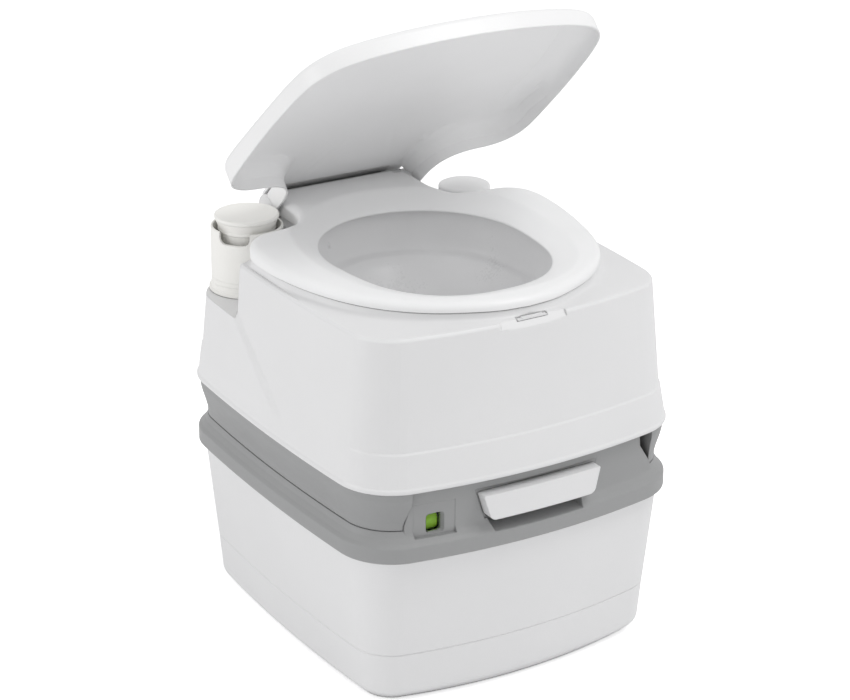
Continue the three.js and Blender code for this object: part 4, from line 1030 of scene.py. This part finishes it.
# the plate runs on over the seat's roll and wraps round behind it
t = np.radians(np.linspace(0, 52, 15))
hook = [(166.0, 418.2), (180.8, 418.2)] + [(180.8 + 18.2 * math.sin(a), 400 + 18.2 * math.cos(a)) for a in t[1:]]
hook += [(180.8 + 21.4 * math.sin(a), 400 + 21.4 * math.cos(a)) for a in t[::-1]] + [(166.0, 421.8)]
join(lid, extrude_x("h", hook, -64.5, 64.5))
t = np.radians(np.linspace(0, 12, 5))
hook = [(166.0, 418.2), (180.8, 418.2)] + [(180.8 + 18.2 * math.sin(a), 400 + 18.2 * math.cos(a)) for a in t[1:]]
hook += [(180.8 + 21.3 * math.sin(a), 400 + 21.3 * math.cos(a)) for a in t[::-1]] + [(166.0, 421.6)]
join(lid, extrude_x("h", hook, -83, 83))
turn = Matrix.Translation(Vector((0, HINGE[0], HINGE[1])) * MM) @ Matrix.Rotation(-LID_OPEN, 4, "X") @ Matrix.Translation(Vector((0, -HINGE[0], -HINGE[1])) * MM)
lid.data.transform(turn)
place(lid, "lid", "white_shell", M["lid_white"], "lid", angle=24)


# ------------------------------------------------------------------ pump
def about_z(ob, degrees, x, y):
    ob.data.transform(Matrix.Translation(Vector((x, y, 0)) * MM) @ Matrix.Rotation(math.radians(degrees), 4, "Z"))
    return ob


px, py = PUMP
profile = rounded([(25.5, 332.4), (40.5, 332.4, 0.6), (40.5, 335.4, 0.8), (38.6, 336.2, 0.6), (38.2, 341.0, 0.3), (37.7, 341.5, 0.2), (37.7, 342.1, 0.2), (38.1, 342.6, 0.3), (38.0, 346.4, 0.3), (37.6, 346.8, 0.2), (37.6, 347.3, 0.2), (38.0, 347.8, 0.3), (37.6, 401.0, 1.9), (34.9, 401.0, 1.2), (34.9, 362, 4), (25.5, 358)], 5)
collar = lathe("pump_housing", profile, px, py, 128)
notch = along_y("n", [(-46, rounded_rect(-16.5, 16.5, 388.8, 420, 7)), (-20, rounded_rect(-16.5, 16.5, 388.8, 420, 7))])
cut(collar, about_z(notch, math.degrees(math.atan2(-0.744, 0.63)), px, py))
bevel(collar, 0.7, 3, 50)
place(collar, "flush_unit", "ivory_plastic", M["ivory_plastic"], "pump_collar", angle=36)

profile = rounded([(0, 374), (12, 374, 2), (27.0, 381, 4), (28.6, 395.4, 0.4), (29.8, 396.0, 0.5), (30.0, 398.2, 0.5), (29.4, 398.9, 0.5), (32.2, 407.8, 2), (33.6, 409.2, 0.8), (33.6, 411.9, 0.9), (32.2, 413.0, 0.8), (30.2, 412.6, 2), (0, 412.2)], 5)
knob = lathe("pump_button", profile, px, py, 128)
cut(knob, rod("r", "z", PUMP, 5.2, 370, 392, 40))
place(knob, "pump", "ivory_plastic", M["ivory_plastic"], "pump_knob", angle=36)


# ------------------------------------------------------------------ filler cap
def grips(count, depth, z0, z1):
    def f(r, t, z):
        k = np.clip(1 - np.abs((t * count / (2 * PI)) % 1 - 0.5) / 0.19, 0, 1)
        fade = float(smooth((z - z0) / 0.8) * smooth((z1 - z) / 1.6))
        return r - depth * smooth(k) * fade * (r > 25)

    return f


profile = rounded([(24.4, 378), (28, 378, 0.5), (28, 392), (28, 396.4), (27.9, 398.6, 1.8), (25.4, 399.9, 1.6), (12, 400.8, 8), (0, 401.0), (0, 396.8), (24.4, 396.8, 0.3)], 5)
profile = [p for p in profile if p[0] > 0.01]
top_p, under_p = profile[:-1], profile[-1:]
zs = []
for i, p in enumerate(profile):
    zs.append(p)
    if i + 1 < len(profile) and abs(p[0] - 28) < 0.2 and abs(profile[i + 1][0] - 28) < 0.2 and profile[i + 1][1] - p[1] > 2:
        for k in range(1, 6):
            u = k / 6
            zs.append((p[0] + (profile[i + 1][0] - p[0]) * u, p[1] + (profile[i + 1][1] - p[1]) * u))
outer_p = zs
cap = lathe("filler_cap", [(0.0, 396.8), (24.4, 396.8)] + [p for p in outer_p if not (abs(p[1] - 396.8) < 0.35 and p[0] < 25)] + [(0.0, 401.0)], *FILL, n=336, ripple=grips(14, 1.3, 379, 396.5))
place(cap, "fill_cap", "white_shell", M["white_shell"], "fill_cap", angle=36)

# ------------------------------------------------------------------ spout, vent and latch at the back
sx, sy, sz = -88.0, 168.0, 203.0
t = np.radians(np.linspace(0, 88, 14))
spout = lathe("spout_elbow", [(0, 185), (17.4, 185), (18, 185.6)] + [(18 * math.cos(a), sz + 18 * math.sin(a)) for a in t] + [(0, sz + 18.0)], sx, sy, 80)
join(spout, rod("r", "x", (sy, sz), 17.98, sx, 36, 80), rod("r", "z", (sx, sy), 11.4, 173, 187, 48))
join(spout, cut(rod("r", "z", (sx, sy), 15, 173.5, 177.4, 48), rod("r", "z", (sx, sy), 10, 172, 179, 48)))
for x in (-40, -2, 30):
    ring = rod("r", "x", (sy, sz), 19.0, x, x + 2.4, 80)
    join(spout, ring)
cut(spout, rod("r", "x", (sy, sz), 15, sx + 2, 60, 72), rod("r", "z", (sx, sy), 8.5, 160, 205, 48))
bevel(spout, 0.6, 3, 45)
place(spout, "spout", "inner_plastic", M["inner_plastic"], "pour_spout", angle=36)


def along_x(ob, y, z):
    """Turns a part made about the z axis so that it lies along x."""
    ob.data.transform(Matrix.Translation(Vector((0, y, z)) * MM) @ Matrix.Rotation(PI / 2, 4, "Y"))
    return ob


def cap_grips(r, t, z):
    k = np.clip(1 - np.abs((t * 18 / (2 * PI)) % 1 - 0.5) / 0.24, 0, 1)
    return r - 1.3 * smooth(k) * (r > 20) * float(smooth((z - 40) / 1.0) * smooth((57 - z) / 1.0))


profile = [(0.0, 54.5), (18.5, 54.5), (18.5, 39.4), (18.9, 39.0), (20.4, 39.0), (20.8, 39.4), (20.8, 41.4), (20.8, 46), (20.8, 51), (20.8, 55.4), (20.8, 56.6), (20.4, 57.4), (19.6, 58.0), (15.0, 58.3), (14.4, 57.7), (0.0, 57.7)]
scap = along_x(lathe("spout_screw_cap", profile, 0, 0, 288, cap_grips), sy, sz)
place(scap, "spout_cap", "ivory_plastic", M["ivory_plastic"], "spout_cap", angle=36)

profile = rounded([(0, 181), (8.6, 181, 0.5), (8.6, 187.2, 0.5), (5.4, 187.2), (5.4, 200), (8.6, 200, 0.4), (8.6, 202.6, 0.4), (7.8, 203.6, 0.7), (4, 203.2, 2), (0, 203)], 4)
place(lathe("vent_plunger", profile, 100, 160, 72), "vent_button", "ivory_plastic", M["ivory_plastic"], "vent_button", angle=36)

lever = hexa("latch_lever", [(92.2, 203.4, 188), (127.8, 203.4, 188), (127.8, 208.4, 188), (92.2, 208.4, 188), (95.2, 203.4, 226), (124.8, 203.4, 226), (124.8, 207.4, 226), (95.2, 207.4, 226)])
join(lever, rod("r", "x", (206, 190), 5, 92.2, 127.8, 48), box("r", 96, 124, 207, 213, 217, 220.6))
cut(lever, rod("r", "x", (206, 190), 2.3, 90, 130, 32))
bevel(lever, 0.8, 3, 40)
place(lever, "latch", "white_shell", M["white_shell"], "latch")


# ------------------------------------------------------------------ pieces kept from the CAD model
for name, ob in NODES.items():
    if ob.hide_render:
        continue
    ob.data.materials.clear()
    ob.data.materials.append(M[SLOT_OF[name]])
    for p in ob.data.polygons:
        p.material_index = 0

# ------------------------------------------------------------------ floor, light and camera
scene = bpy.context.scene
scene.view_settings.view_transform = "Standard"
scene.view_settings.look = "None"
scene.view_settings.exposure = 0
scene.view_settings.gamma = 1

FLOOR_GLOW = (0.0, 0.5)
me = bpy.data.meshes.new("floor")
me.from_pydata([(-12, -12, 0), (12, -12, 0), (12, 12, 0), (-12, 12, 0)], [], [(0, 1, 2, 3)])
floor = bpy.data.objects.new("floor", me)
scene.collection.objects.link(floor)
mat = bpy.data.materials.new("floor")
mat.use_nodes = True
nt = mat.node_tree
b = nt.nodes["Principled BSDF"]
b.inputs["Base Color"].default_value = (0.93, 0.93, 0.935, 1)
b.inputs["Roughness"].default_value = 0.85
b.inputs["Emission Color"].default_value = (1, 1, 1, 1)
path, glow = nt.nodes.new("ShaderNodeLightPath"), nt.nodes.new("ShaderNodeMapRange")
glow.inputs[3].default_value, glow.inputs[4].default_value = FLOOR_GLOW
nt.links.new(path.outputs["Is Camera Ray"], glow.inputs[0])
nt.links.new(glow.outputs[0], b.inputs["Emission Strength"])
me.materials.append(mat)

world = bpy.data.worlds.new("studio")
scene.world = world
world.use_nodes = True
world.node_tree.nodes["Background"].inputs[0].default_value = (1, 1, 1, 1)
world.node_tree.nodes["Background"].inputs[1].default_value = 0.70


def area(name, position, target, size, power, size_y=None):
    d = bpy.data.lights.new(name, "AREA")
    d.shape, d.size, d.size_y, d.energy = "RECTANGLE", size, size_y or size, power
    o = bpy.data.objects.new(name, d)
    o.location = Vector(position)
    o.rotation_euler = (Vector(target) - Vector(position)).to_track_quat("-Z", "Y").to_euler()
    scene.collection.objects.link(o)
    return o


area("front_right", (1.9, -1.7, 1.5), (0, 0, 0.45), 1.3, 2.5)
area("left", (-2.6, 0.6, 1.1), (0, 0, 0.25), 1.2, 13)
area("above", (0.9, -1.1, 2.7), (0, 0, 0.35), 1.1, 21)

cam = bpy.data.objects.new("camera", bpy.data.cameras.new("camera"))
scene.collection.objects.link(cam)
az, el, roll = math.radians(31.382), math.radians(22.283), math.radians(0.142)
f = Vector((math.cos(el) * math.sin(az), math.cos(el) * math.cos(az), -math.sin(el)))
r = f.cross(Vector((0, 0, 1))).normalized()
u = r.cross(f)
r2, u2 = r * math.cos(roll) + u * math.sin(roll), -r * math.sin(roll) + u * math.cos(roll)
m = Matrix((r2, u2, -f)).transposed().to_4x4()
m.translation = Vector((-1276.523, -2088.691, 1289.485)) * MM
cam.matrix_world = m
cam.data.sensor_width, cam.data.lens = 36, 109.25
cam.data.clip_end = 60
scene.camera = cam
